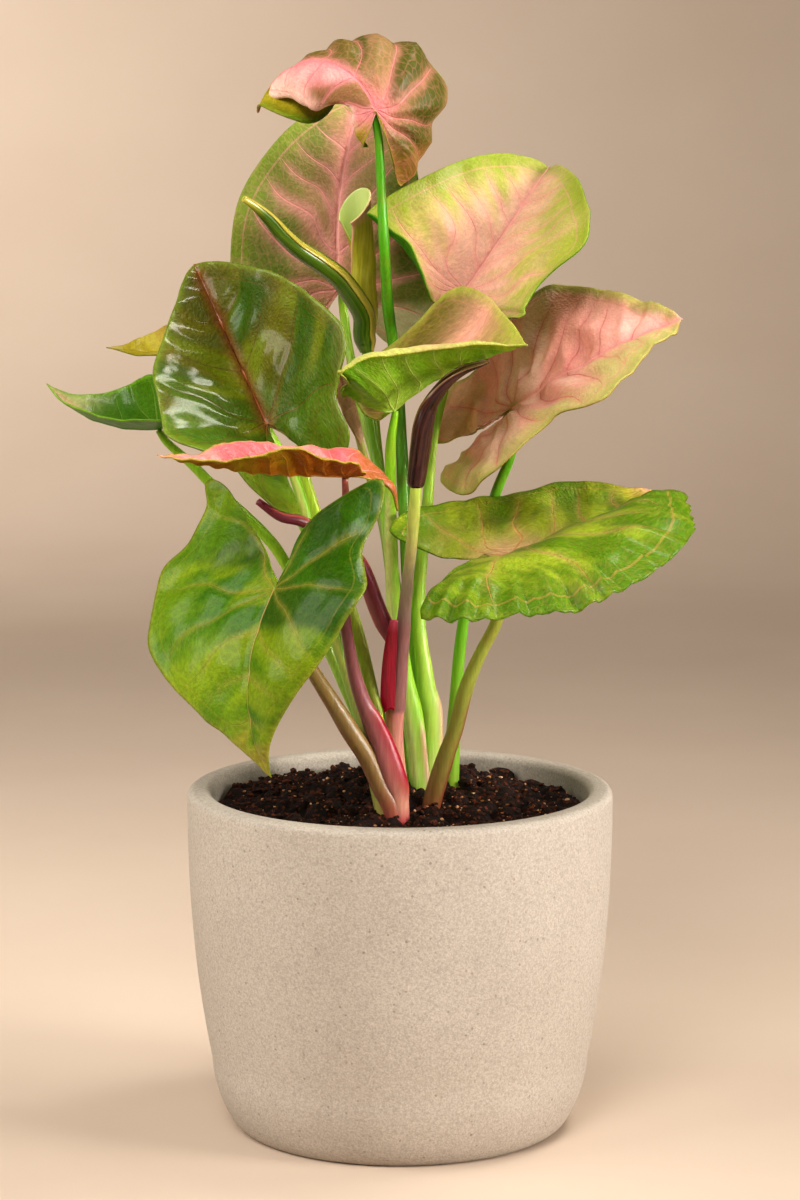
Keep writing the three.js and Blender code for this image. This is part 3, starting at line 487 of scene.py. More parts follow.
# What a user would change on each leaf. A wash lies on side 0 left or 1 right, within rib or heart in mm
# from the midrib or the stalk, within vein in mm from a side vein, outside rim or inside core as shares from
# the middle out, on a belt (place, width) along the midrib in mm, ahead of tip as a share of the length,
# lobe in mm or more behind the stalk, and where slow noise is above patch. broken is how far it breaks up.
# Side veins are gap mm apart ahead of the stalk and fan radians behind it; slope and curve bend them forward
usualLook = dict(slope=0.55, curve=0.006, fan=0.5, net=0.12, rough=0.4, facet=0, crease=0, frill=(0, 0),
                 underWashes=[])
leafLooks = {
    "blade_top": dict(
        slot="leaf_pink", base="#70632a", washes=[
            wash("#4f5418", 0.9, patch=0.2), wash("#a8865a", 0.55, patch=0.2, patchSeed=2),
            wash("#d08c78", 0.45, vein=1.1, broken=0.4), wash("#ea9492", 0.95, side=0),
            wash("#f5b8b0", 0.7, side=0, patch=0.1, patchSeed=3), wash("#e58b8a", 0.9, heart=7),
            wash("#ea8e90", 0.8, rib=2), wash("#8a7034", 0.85, side=0, patch=0.2, patchSeed=2, core=0.9),
            # near half: a pale cream band where the margin rolls over, partly the pale margin itself and
            # partly a painted highlight on the top of the curl
            wash("#ee9a98", 0.8, side=0, vein=1.3), wash("#f8d0bf", 1.0, side=0, rim=0.6),
            wash("#b5a234", 1.0, side=0, lobe=1), wash("#7a8a24", 0.6, side=0, lobe=6, broken=0.3),
            wash("#a3743a", 0.55, side=1, lobe=12), wash("#a9a83e", 0.5, side=1, rim=0.93)],
        under="#bcae2c", underWashes=[
            wash("#3c7a16", 0.9, rim=0.93), wash("#9a901c", 0.5, patch=0.2)],
        vein="#e88a8c", underVein="#c9bd4a", gap=12.5, curve=0.005, veinPower=0.7, veinWidth=0.5, grain=0.6,
        pleat=0.3, facet=1.9, quilt=0.35, wave=0.3, bump=0.4, coat=0.05, glow=0.12),
    "blade_back_left": dict(
        slot="leaf_pink", base="#7f8e3a", washes=[
            wash("#a8925a", 0.6, patch=0.0), wash("#6f8634", 0.65, patch=0.3, patchSeed=2),
            wash("#d0957c", 0.55, rib=15, broken=0.4), wash("#eaa69c", 0.6, vein=1.8, broken=0.3),
            wash("#f0a29c", 0.85, rib=2.6), wash("#93a83e", 0.7, rim=0.78, broken=0.4),
            wash("#d8d2a8", 0.8, lobe=2, broken=0.3)],
        under="#8c9a40", vein="#f4a5a0", ribVein="#fbb8ae", underVein="#b9b060", gap=11.5, slope=0.75,
        curve=0.004, veinPower=0.85, veinWidth=0.85, grain=0.6, pleat=0.4, quilt=0.4, wave=0.6, bump=0.35,
        rough=0.45, coat=0.03, glow=0.3),
    "blade_upper_right": dict(
        slot="leaf_pink", base="#c8c45c", washes=[
            wash("#adba40", 0.85, rim=0.3, broken=0.35), wash("#d8c27c", 0.7, patch=0.1),
            wash("#aabd46", 0.6, patch=0.5, patchSeed=2, core=0.95),
            wash("#f2c2a8", 0.95, rib=12, broken=0.35), wash("#f4baa8", 0.9, heart=24, broken=0.3),
            wash("#f0aa9c", 0.5, vein=1.3), wash("#f6aca4", 0.75, rib=1.2),
            wash("#9cb034", 0.7, rim=0.86, broken=0.3), wash("#8fa82c", 0.6, side=0, rim=0.72)],
        under="#3f8c14", underWashes=[
            wash("#6fa636", 0.5, patch=0.2)],
        vein="#f5a99e", ribVein="#f9b4a8", underVein="#8fae4a", gap=9.5, fan=0.4, veinPower=0.7,
        veinWidth=0.6, net=0.1, grain=0.5, pleat=0.35, quilt=0.5, wave=0.7, bump=0.3, coat=0.08, glow=0.3),
    "blade_centre": dict(
        slot="leaf_olive", base="#a0953c", washes=[
            wash("#7a6c2c", 0.75, patch=0.3), wash("#c2bc5c", 0.7, patch=0.1, patchSeed=2),
            wash("#ffb6a4", 1.0, side=0, belt=(18, 10)),
            wash("#d4a67a", 0.6, side=0, belt=(31, 7), broken=0.4), wash("#b9bc52", 0.8, side=0, tip=0.6),
            wash("#dcdc88", 0.95, side=1), wash("#e9b49c", 0.8, side=1, belt=(24, 9), broken=0.2),
            wash("#bcc456", 0.6, rim=0.9)],
        under="#93c62c", underWashes=[
            wash("#6bae12", 0.7, patch=0.2), wash("#b4d652", 0.7, heart=18), wash("#c2dc6a", 0.5, vein=1.2),
            wash("#b8c83c", 0.8, rim=0.85)],
        vein="#dd9c80", underVein="#c8dc78", gap=10, fan=0.45, veinPower=0.5, veinWidth=0.7, grain=0.8,
        pleat=0.35, quilt=0.45, wave=0.5, bump=0.35, coat=0.08, glow=0.3),
    "blade_right": dict(
        slot="leaf_pink", base="#ffbeae", washes=[
            wash("#ffd6c6", 0.7, patch=0.1), wash("#ee9a8c", 0.45, patch=0.4, patchSeed=2),
            wash("#a88a48", 0.75, side=0, rim=0.86, broken=0.6),
            wash("#dcc084", 0.5, side=0, lobe=12, broken=0.5),
            wash("#d2ca80", 0.9, side=1, rim=0.5, broken=0.25),
            wash("#cdbc70", 0.7, side=1, lobe=14, broken=0.3), wash("#b4b95c", 0.75, rim=0.9),
            wash("#f6aca4", 0.8, rib=2.0), wash("#ea8f88", 0.4, vein=1.3), wash("#93b23a", 1.0, heart=2.4)],
        under="#a98c4a", vein="#f08f8a", ribVein="#ffb4ac", underVein="#cfa060", gap=12, slope=0.5,
        veinPower=0.75, veinWidth=0.65, grain=0.35, pleat=0.5, quilt=0.6, crease=2.2, wave=0.8, bump=0.4,
        coat=0.08, glow=0.32),
    "blade_large_left": dict(
        slot="leaf_olive", base="#4a660c", washes=[
            wash("#7c8410", 0.6, patch=0.2), wash("#5c4a10", 0.5, patch=0.3, patchSeed=2),
            wash("#2a5606", 0.7, patch=0.3, patchSeed=3), wash("#7c4420", 0.8, rib=3),
            wash("#6a5a20", 0.5, side=1, rim=0.8, broken=0.6), wash("#7a902c", 0.7, rim=0.94),
            wash("#5c7a18", 0.5, lobe=2, broken=0.3)],
        under="#5f7418", underWashes=[
            wash("#6e5c1c", 0.6, patch=0.1)],
        vein="#7f5c2a", ribVein="#a3603a", underVein="#8a8a34", gap=21, slope=0.45, curve=0.005, fan=0.75,
        veinPower=0.55, veinWidth=0.65, grain=1.0, pleat=0.7, quilt=0.45, crease=0.8, wave=0.8, bump=0.6,
        rough=0.3, coat=0.5, glow=0.05),
    "blade_front_left": dict(
        slot="leaf_green", base="#427205", washes=[
            wash("#869a14", 0.75, patch=0.0), wash("#2f5604", 0.95, side=0, lobe=-18, broken=0.2),
            wash("#305a04", 0.9, lobe=2, broken=0.3), wash("#8aa818", 0.5, side=1, rim=0.25, broken=0.3),
            wash("#437605", 0.5, patch=0.6, patchSeed=2), wash("#a7983a", 0.7, tip=0.68, broken=0.5),
            wash("#b4a64c", 0.3, vein=1.0), wash("#a3a23c", 0.5, rim=0.95)],
        under="#6fa02c", vein="#a99a3c", ribVein="#c8a268", underVein="#a0b850", gap=14, slope=0.5,
        curve=0.005, fan=0.62, veinPower=0.45, veinWidth=0.45, net=0.04, grain=1.0, pleat=0.45, quilt=0.4,
        wave=0.6, bump=0.35, rough=0.32, coat=0.22, glow=0.18),
    "blade_front_right": dict(
        slot="leaf_green", base="#618510", washes=[
            wash("#99ac2a", 0.8, patch=0.0), wash("#4c780c", 0.45, patch=0.4, patchSeed=5),
            wash("#cdb662", 0.6, heart=19, broken=0.3), wash("#f2c29c", 1.0, heart=9.5),
            wash("#d8ac72", 0.35, vein=1.1), wash("#c9bb44", 0.8, side=0, tip=0.66, broken=0.3),
            wash("#f4bd90", 0.95, side=0, tip=0.82, rim=0.8),
            wash("#567a10", 0.6, side=1, rim=0.5, broken=0.5)],
        under="#70982c", vein="#dd9f62", underVein="#b0b856", gap=14, slope=0.6, fan=0.6, veinPower=0.6,
        veinWidth=0.5, net=0.07, grain=0.9, pleat=0.3, quilt=0.5, crease=0.6, wave=0.5, frill=(1, 1.2),
        bump=0.5, coat=0.12, glow=0.2),
    "blade_edge_left": dict(
        slot="leaf_pink", base="#e56c70", washes=[
            wash("#f4a89c", 0.7, patch=0.1), wash("#c0504a", 0.5, vein=0.9),
            wash("#a8642a", 0.9, lobe=0, broken=0.15), wash("#a3a03c", 0.85, rim=0.95)],
        under="#ad661c", underWashes=[
            wash("#8c8416", 0.85, tip=0.25, broken=0.3), wash("#b8583c", 0.45, lobe=-10, broken=0.3),
            wash("#8f4c12", 0.6, patch=0.2), wash("#a09a2c", 0.8, rim=0.93)],
        vein="#f0a59a", underVein="#c98a3c", gap=6, veinPower=0.4, veinWidth=0.8, grain=0.5, pleat=0.9,
        quilt=0.6, crease=0.9, wave=0.7, bump=0.4, rough=0.35, coat=0.15, glow=0.2),
    "blade_far_left": dict(
        slot="leaf_green", base="#4a7410", washes=[
            wash("#3c6e0a", 0.6, patch=0.1), wash("#bcc07c", 0.95, tip=0.45, broken=0.2),
            wash("#d8a884", 0.8, tip=0.5, rib=2.2), wash("#7aa82a", 0.7, rim=0.9)],
        under="#44840e", underWashes=[
            wash("#6a9f20", 0.6, patch=0.1), wash("#8fae2c", 0.6, rim=0.9)],
        vein="#8fae4c", underVein="#6c9a2c", gap=11, veinPower=0.35, veinWidth=0.6, net=0.06, grain=0.8,
        pleat=0.3, quilt=0.3, wave=0.4, bump=0.3, rough=0.35, coat=0.15, glow=0.22),
    "blade_small_left": dict(
        slot="leaf_olive", base="#a09222", washes=[
            wash("#c0b24c", 0.6, patch=0.2), wash("#b0884a", 0.5, patch=0.4, patchSeed=2),
            wash("#7f7a18", 0.7, lobe=-12)],
        under="#7f8a1c", vein="#b89a3c", underVein="#a09a30", gap=8, veinPower=0.35, veinWidth=0.6,
        net=0.08, grain=0.8, pleat=0.3, quilt=0.25, wave=0.5, bump=0.3, rough=0.38, coat=0.1, glow=0.3),
    "blade_behind_stems": dict(
        slot="leaf_olive", base="#a07c4a", washes=[
            wash("#8a8a3c", 0.6, patch=0.2), wash("#c99a80", 0.5, patch=0.3, patchSeed=2)],
        under="#8a7a2c", vein="#b98a60", underVein="#a08a38", gap=8, veinPower=0.4, veinWidth=0.6, net=0.08,
        grain=0.8, pleat=0.3, quilt=0.2, wave=0.3, bump=0.3, rough=0.42, coat=0.05, glow=0.3),
}


def catmull(points, steps):
    points = np.array(points, float)
    padded = np.vstack([2 * points[0] - points[1], points, 2 * points[-1] - points[-2]])
    curve = []
    for i in range(len(points) - 1):
        a, b, c, d = padded[i:i + 4]
        for k in range(steps):
            t = k / steps
            curve.append(0.5 * (2 * b + (c - a) * t + (2 * a - 5 * b + 4 * c - d) * t ** 2
                                + (3 * b - a - 3 * c + d) * t ** 3))
    return np.array(curve + [points[-1]])


def halfOutline(leaf, half):
    side = 1 if half else -1
    width, lobe, spread = leaf["width"][half], leaf["lobe"][half], leaf["spread"][half]
    shape = leaf.get("shape", [[1] * 5] * 2)[half]
    notch = leaf.get("notch", [1, 1])[half]
    factor = [1, 1, shape[0], shape[1], shape[2], 1]
    wider, waist = spread - 0.86, spread - 0.12  # the step out to the lobe, and the inside of the lobe
    back = [(1, -0.1), ((1 + wider * 0.25) * shape[3], -0.42), ((1 + wider * 0.66) * shape[4], -0.76),
            (spread + 0.08, -0.96), (spread, -1), (waist, -0.9), (0.55 * waist * notch, -0.55),
            (0.13 * spread * notch, -0.2)]
    points = [(side * width * f * x ** leaf["full"], y * leaf["length"])
              for (x, y), f in zip(frontShape, factor)]
    points += [(side * width * x, y * lobe) for x, y in back]
    points.append((0, -0.03 * sum(leaf["lobe"])))
    return catmull(points, bladeMesh["perSpan"])


def rotateAbout(vector, axis, angle):
    return (vector * math.cos(angle) + np.cross(axis, vector) * math.sin(angle)
            + axis * np.dot(axis, vector) * (1 - math.cos(angle)))


def leafSpine(leaf, sign):  # places, directions and upper sides along the midrib, ahead (1) or behind (-1)
    steps = bladeMesh["spineSteps"]
    az, pitch = math.radians(leaf["azimuth"]), math.radians(leaf["pitch"])
    tip = np.array([math.cos(pitch) * math.cos(az), math.cos(pitch) * math.sin(az), math.sin(pitch)])
    up = np.array([-math.sin(pitch) * math.cos(az), -math.sin(pitch) * math.sin(az), math.cos(pitch)])
    up = rotateAbout(up, tip, math.radians(leaf["roll"]))
    step = (leaf["length"] if sign > 0 else max(leaf["lobe"])) / steps
    lead = 0.5 * steps / bladeMesh["solidSteps"] - 0.5  # the solid turns half of its own longer step early
    place, frames = np.zeros(3), []
    for i in range(steps + 1):
        frames.append((place.copy(), tip.copy(), up.copy()))
        share = (i + 0.5) / steps
        drop = leaf["bend"] + leaf["bendRun"] * (2 * share - 1) if sign > 0 else -leaf["back"]
        sweep = leaf["sweep"] if sign > 0 else 0
        count = 1 + lead if i == 0 else 1
        right = np.cross(tip, up)
        angle = -math.radians(drop) / steps * count
        tip, up = rotateAbout(tip, right, angle), rotateAbout(up, right, angle)
        tip = rotateAbout(tip, up, -math.radians(sweep) / steps * count)
        place = place + sign * step * tip
    return [np.array(part) for part in zip(*frames)] + [step]


def bendBlade(leaf, x, y):  # lays flat points on the spine, then folds and curls each half about it
    place, tip, up = np.zeros((len(x), 3)), np.zeros((len(x), 3)), np.zeros((len(x), 3))
    for sign in (1, -1):
        spot = (y >= 0) if sign > 0 else (y < 0)
        places, tips, ups, step = leafSpine(leaf, sign)
        along = np.minimum(np.abs(y[spot]) / step, bladeMesh["spineSteps"] - 1e-6)
        index = along.astype(int)
        part = (along - index)[:, None]
        for target, source in ((place, places), (tip, tips), (up, ups)):
            target[spot] = source[index] * (1 - part) + source[index + 1] * part
    tip, up = unitRows(tip), unitRows(up)
    right = np.cross(tip, up)
    moved = place + np.array(leaf["at"], float)
    cuts, edgeFrom = bladeMesh["cuts"], bladeMesh["edgeFrom"]
    for half, side in ((0, -1), (1, 1)):
        spot = (x >= 0) if side > 0 else (x < 0)
        edge = halfOutline(leaf, half)[:bladeMesh["outerPoints"] * bladeMesh["perSpan"] + 1]
        wide = np.interp(-y[spot], -edge[:, 1], np.abs(edge[:, 0]), left=0, right=0)
        wide = np.maximum(np.maximum(wide, np.abs(x[spot])), 1e-6)
        share = np.abs(x[spot]) / wide
        lobe = leaf["lobeTurn"][half] * np.clip(-y[spot] / leaf["lobe"][half], 0, 1)
        ahead = leaf.get("tipTurn", [0, 0])[half] * np.clip(y[spot] / leaf["length"], 0, 1) ** 3
        rim = leaf.get("edge", [0, 0])[half]
        out, rise = 0, 0
        for i in range(cuts):
            s = share * (i + 0.5) / cuts
            turn = np.radians(leaf["fold"][half] + lobe + ahead + leaf["curl"][half] * s
                              + rim * smooth((s - edgeFrom) / (1 - edgeFrom)))
            out = out + np.cos(turn) * share * wide / cuts
            rise = rise + np.sin(turn) * share * wide / cuts
        moved[spot] += right[spot] * (side * out)[:, None] + up[spot] * rise[:, None]
    return moved


def waves(x, y, dice, low, high, count=16):  # slow noise, about -1 to 1; low and high are radians per mm
    total, power = 0 * x, 0
    for wave in range(count):
        angle, pace = dice.uniform(0, math.pi), dice.uniform(low, high)
        size = pace ** -0.6
        along = (x * math.cos(angle) + y * math.sin(angle)) * pace
        total = total + size * np.sin(along + dice.uniform(0, 6.3))
        power += size * size / 2
    return total / math.sqrt(power)


def slideVeins(x, y, dice):  # real side veins aren't ruled: this slides them, but not on the midrib
    free = smooth(np.abs(x) / 9)
    slidX = x + 1.3 * free * waves(x, y, dice, 0.06, 0.3, 6)
    return slidX, y + 1.7 * free * waves(x, y, dice, 0.06, 0.3, 6)


def veinDistance(x, y, look):  # to the curved lines ahead of the stalk, or to the fan of lines behind it
    a = np.abs(x)
    lead = look["slope"] * a + look["curve"] * a ** 2
    front = y - lead
    turned = np.arctan2(lead, a + 1e-6) - np.arctan2(y, a + 1e-6)
    ahead = np.abs(front - look["gap"] * np.round(front / look["gap"])) * 0.85
    behind = np.abs(turned - look["fan"] * np.round(turned / look["fan"])) * np.hypot(x, y)
    return np.where(front > 0, ahead, behind)


def washAmount(item, leaf, flat, noise):
    x, y, share, gaps = flat
    zones = {  # how far each point is inside the zone that the wash names, from 0 to 1
        "side": lambda v: smooth(0.5 + (x if v else -x) / 2.5),
        "rib": lambda v: np.exp(-(x / v) ** 2) * smooth(1.5 + y / 4),
        "heart": lambda v: np.exp(-(x * x + y * y) / v ** 2),
        "vein": lambda v: np.exp(-(gaps / v) ** 2) * smooth((1.02 - share) * 3),
        "rim": lambda v: smooth((share - v) / (1.02 - v) * 1.25),
        "core": lambda v: smooth((v - share) * 4),
        "belt": lambda v: np.exp(-((y - 0.55 * np.abs(x) - v[0]) / v[1]) ** 2),
        "tip": lambda v: smooth((y / leaf["length"] - v) / (1 - v) * 1.6 + 0.1),
        "lobe": lambda v: smooth((-y - v) / 7),
        "patch": lambda v: smooth((noise[item.get("patchSeed", 1)] - v) / 0.9 + 0.5),
    }
    value = 1 + 0 * x
    for key, zone in zones.items():
        if key in item:
            value = value * zone(item[key])
    if "broken" in item:
        value = value + 4 * value * (1 - value) * item["broken"] * (0.7 * noise[4] + 0.5 * noise[5])
    return (np.clip(value, 0, 1) * item["amount"])[:, None]


def leafPaint(base, washes, leaf, flat, noise):
    paint = np.tile(np.array(tint(base)[:3]), (len(flat[0]), 1))
    for item in washes:
        amount = washAmount(item, leaf, flat, noise)
        paint = paint * (1 - amount) + np.array(tint(item["colour"])[:3]) * amount
    return paint


def vertexNormals(points, faces):
    normals = np.zeros_like(points)
    quads = np.array([f if len(f) == 4 else (*f, f[2]) for f in faces])
    a, b, c, d = (points[quads[:, k]] for k in range(4))
    cross = np.where((quads[:, 2] == quads[:, 3])[:, None], np.cross(b - a, c - a), np.cross(c - a, d - b))
    for k in range(4):
        np.add.at(normals, quads[:, k], cross)
    return normals / np.maximum(np.linalg.norm(normals, axis=1), 1e-12)[:, None]


def leafRelief(look, x, y, share, gaps, dice):  # how far the surface stands off its smooth shape, in mm
    inside = smooth(share * 3)
    lift = look["pleat"] * (smooth(gaps / 3.2) - 0.5) * inside * smooth((1.08 - share) * 6)
    lift = lift + look["facet"] * (gaps / 5 - 0.5) * inside * smooth(x / 6) * smooth((1.05 - share) * 4)
    lift = lift + look["quilt"] * waves(x, y, dice, 0.12, 0.55) * smooth(share * 2.5) * smooth(np.abs(x) / 5)
    folds = 1 - np.abs(waves(x * 0.5, y - 0.4 * np.abs(x), dice, 0.25, 0.7, 8))  # these follow the veins
    lift = lift + look["crease"] * 0.6 * folds * np.exp(-((np.abs(x) - 9) / 9) ** 2) * inside
    angle = np.arctan2(x, y)
    ripple = sum(np.sin(angle * k + dice.uniform(0, 6)) / (1 + 0.06 * k) for k in (5, 8, 13, 21)) / 2.4
    lift = lift + look["wave"] * ripple * share ** 3
    side, size = look["frill"]  # a crinkled margin on one half
    along = smooth(0.5 + (x if side else -x) / 6) * smooth((share - 0.6) * 3)
    return lift + size * along * (np.sin(angle * 41 + 2.2 * np.sin(angle * 9)) + 0.6 * np.sin(angle * 67))


def makeBlade(name, leaf, look, material):
    rim = np.vstack([halfOutline(leaf, 1), halfOutline(leaf, 0)[1:-1][::-1]])
    count = len(rim)
    shares = np.linspace(0, 1, bladeMesh["rings"] + 1)[1:] ** bladeMesh["ringPower"]  # closer at the margin
    flat = np.vstack([[[0, 0]]] + [rim * s for s in shares])
    share = np.concatenate([[0]] + [np.full(count, s) for s in shares])
    x, y = flat[:, 0], flat[:, 1]
    middle = bendBlade(leaf, x, y)
    faces = [(0, 1 + (j + 1) % count, 1 + j) for j in range(count)]
    for start in range(1, 1 + (len(shares) - 1) * count, count):
        for j in range(count):
            k = (j + 1) % count
            faces.append((start + k, start + count + k, start + count + j, start + j))
    normals = vertexNormals(middle, faces)
    dice = random.Random(name)
    slidX, slidY = slideVeins(x, y, dice)
    gaps = veinDistance(slidX, slidY, look)
    lift = leafRelief(look, x, y, share, gaps, dice)
    along = y - 0.5 * np.abs(x)  # patches run out along the side veins
    noise = [0] + [waves(x * 0.4, along, dice, 0.1, 0.5) for i in range(4)]
    noise.append(waves(x * 0.5, along, dice, 0.5, 1.6))
    midrib = np.exp(-(x / bladeMesh["ribWidth"]) ** 2)
    groove = -bladeMesh["groove"] * midrib * smooth(share * 8) * (y > 0)
    ridge = bladeMesh["ridge"] * midrib * smooth(1.15 - y / leaf["length"]) * (y > -1)
    half = bladeMesh["thickness"] / 2
    upper = middle + normals * (lift + groove + half)[:, None]
    lower = middle + normals * (lift - ridge - half)[:, None]
    total = len(middle)
    allFaces = faces + [tuple(total + i for i in reversed(f)) for f in faces]
    last = total - count
    for j in range(count):
        a, b = last + j, last + (j + 1) % count
        allFaces.append((b, total + b, total + a, a))
    blade = makePiece(name.replace("blade", "leaf"), np.vstack([upper, lower]) * mm, allFaces, material)
    storeValues(blade, "leafPlace", "FLOAT_VECTOR", np.tile(np.stack([slidX, slidY, share], 1), (2, 1)))
    storeValues(blade, "leafUpper", "FLOAT", np.repeat([1.0, 0.0], total))
    zones = (x, y, share, gaps)
    paint = np.vstack([leafPaint(look["base"], look["washes"], leaf, zones, noise),
                       leafPaint(look["under"], look["underWashes"], leaf, zones, noise)])
    storeValues(blade, "leafPaint", "FLOAT_COLOR", np.hstack([paint, np.ones((2 * total, 1))]))
    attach(blade, "root")
    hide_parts(name)


def makeLeafSkin(name, look, leaf):  # living leaf: satin cuticle over soft washes of pigment, lit through
    width, power, grain, rough = look["veinWidth"], look["veinPower"], look["grain"], look["rough"]
    below, above, rib = tint(look["underVein"]), tint(look["vein"]), tint(look.get("ribVein", look["vein"]))
    sheet, detail = {"Vector": "sheet"}, {"Detail": 4.0, "Roughness": 0.6}
    return makeMaterial(name + "Skin", [
        ("place", paintNode, {"attribute_name": "leafPlace"}, {}),
        ("upper", paintNode, {"attribute_name": "leafUpper"}, {}),
        ("paint", paintNode, {"attribute_name": "leafPaint"}, {}),
        ("sheet", vectorNode, {**times, 1: (1, 1, 0)}, {0: "place.Vector"}),
        ("reach", vectorNode, {"operation": "LENGTH"}, {0: "sheet"}),
        ("at", partsNode, {}, {0: "place.Vector"}),
        ("tissue", noiseNode, {**detail, "Scale": 0.55}, sheet),
        ("specks", noiseNode, {**detail, "Scale": 1.9, "Detail": 3.0}, sheet),
        ("net", cellNode, {"feature": "DISTANCE_TO_EDGE", "Scale": 0.4, "Randomness": 0.9}, sheet),
        ("cells", cellNode, {"feature": "SMOOTH_F1", "Scale": 1.1, "Smoothness": 0.6}, sheet),
        ("a", mathNode, {"operation": "ABSOLUTE"}, {0: "at.X"}),  # curved side veins ahead of the stalk
        ("a2", mathNode, times, {0: "a", 1: "a"}),
        ("bow", mathNode, {**times, 1: look["curve"]}, {0: "a2"}),
        ("lead", mathNode, {**timesPlus, 1: look["slope"]}, {0: "a", 2: "bow"}),
        ("front", mathNode, minus, {0: "at.Y", 1: "lead"}),
        ("saw", mathNode, {**pingPong, 1: look["gap"] / 2}, {0: "front"}),
        ("ahead", mathNode, {**times, 1: 0.85}, {0: "saw"}),
        ("leadTurn", mathNode, arcTangent, {0: "lead", 1: "a"}),  # and those behind it are a fan
        ("turn", mathNode, arcTangent, {0: "at.Y", 1: "a"}),
        ("turned", mathNode, minus, {0: "leadTurn", 1: "turn"}),
        ("fan", mathNode, {**pingPong, 1: look["fan"] / 2}, {0: "turned"}),
        ("behind", mathNode, times, {0: "fan", 1: "reach.Value"}),
        ("isFront", mathNode, {**greater, 1: 0.0}, {0: "front"}),
        ("distance", mixNode, {}, {0: "isFront", 2: "behind", 3: "ahead"}),
        ("taper", rampNode, {"From Min": 0.1, "From Max": 0.95, "To Min": width * 0.62,
                             "To Max": width * 0.3}, {0: "at.Z"}),
        ("near", mathNode, over, {0: "distance", 1: "taper"}),
        ("side", rampNode, {**falling, "From Min": 0.25}, {0: "near"}),
        ("fade", rampNode, {**falling, "From Min": 0.78, "From Max": 0.96, "To Max": 0.1}, {0: "at.Z"}),
        ("sideVein", mathNode, times, {0: "side", 1: "fade"}),
        ("thin", rampNode, {"From Max": leaf["length"], "To Min": width * 1.15, "To Max": width * 0.4},
         {0: "at.Y"}),
        ("ribNear", mathNode, over, {0: "a", 1: "thin"}),
        ("ribLine", rampNode, {**falling, "From Min": 0.5}, {0: "ribNear"}),
        ("isAhead", mathNode, {**greater, 1: -0.5}, {0: "at.Y"}),
        ("rib", mathNode, times, {0: "ribLine", 1: "isAhead"}),
        ("hem", mathNode, {"operation": "COMPARE", 1: 0.9, 2: 0.007}, {0: "at.Z"}),  # inside the margin
        ("hemVein", mathNode, {**times, 1: 0.4}, {0: "hem"}),
        ("mesh", rampNode, {**falling, "From Min": 0.015, "From Max": 0.11}, {0: "net"}),
        ("lines", mathNode, larger, {0: "sideVein", 1: "hemVein"}),
        ("veins", mathNode, larger, {0: "lines", 1: "rib"}),
        ("sideInk", mathNode, {**times, 1: power}, {0: "lines"}),
        ("ribInk", mathNode, {**times, 1: min(power + 0.2, 1)}, {0: "rib"}),
        ("meshInk", mathNode, {**times, 1: 1.2 * look["net"]}, {0: "mesh"}),
        ("veinShade", mixNode, {**blend, 6: below, 7: above}, {0: "upper.Fac"}),
        ("ribShade", mixNode, {**blend, 6: below, 7: rib}, {0: "upper.Fac"}),
        ("grown", rampNode, {"From Min": 0.25, "From Max": 0.75, "To Min": 1 - 0.3 * grain,
                             "To Max": 1 + 0.24 * grain}, {0: "tissue"}),
        ("fine", rampNode, {**middling, "To Min": 0.9, "To Max": 1.1}, {0: "specks"}),
        ("tone", mathNode, times, {0: "grown", 1: "fine"}),
        ("flesh", mixNode, timesColour, {6: "paint", 7: "tone"}),
        ("netted", mixNode, blend, {0: "meshInk", 6: "flesh", 7: "veinShade"}),
        ("lined", mixNode, blend, {0: "sideInk", 6: "netted", 7: "veinShade"}),
        ("colour", mixNode, blend, {0: "ribInk", 6: "lined", 7: "ribShade"}),
        ("facing", rampNode, {"To Min": 0.6, "To Max": -0.3}, {0: "upper.Fac"}),  # veins sink above
        ("relief", mathNode, times, {0: "veins", 1: "facing"}),
        ("pebbled", mathNode, {**timesPlus, 1: -0.3}, {0: "cells", 2: "relief"}),
        ("height", mathNode, {**timesPlus, 1: 0.5}, {0: "tissue", 2: "pebbled"}),
        ("rough", rampNode, {**middling, "To Min": rough - 0.05, "To Max": rough + 0.1}, {0: "tissue"}),
        ("lit", mixNode, {**timesColour, 7: tint("#fff2b4")}, {6: "colour"}),
        ("bump", bumpNode, {"Strength": min(2 * look["bump"], 1), "Distance": 0.0008}, {"Height": "height"}),
        ("skin", skinNode, {"IOR": 1.42, "Specular IOR Level": 0.18, "Coat Weight": look["coat"],
                            "Coat Roughness": 0.14},
         {"Base Color": "colour", "Roughness": "rough", "Normal": "bump"}),
        ("through", "ShaderNodeBsdfTranslucent", {}, {"Color": "lit", "Normal": "bump"}),
        ("body", "ShaderNodeMixShader", {0: look["glow"]}, {1: "skin", 2: "through"}),
    ])


for name, leaf in leafShapes.items():
    look = {**usualLook, **leafLooks[name]}
    makeBlade(name, leaf, look, makeLeafSkin(name.replace("blade", "leaf"), look, leaf))
print("leaves ready")

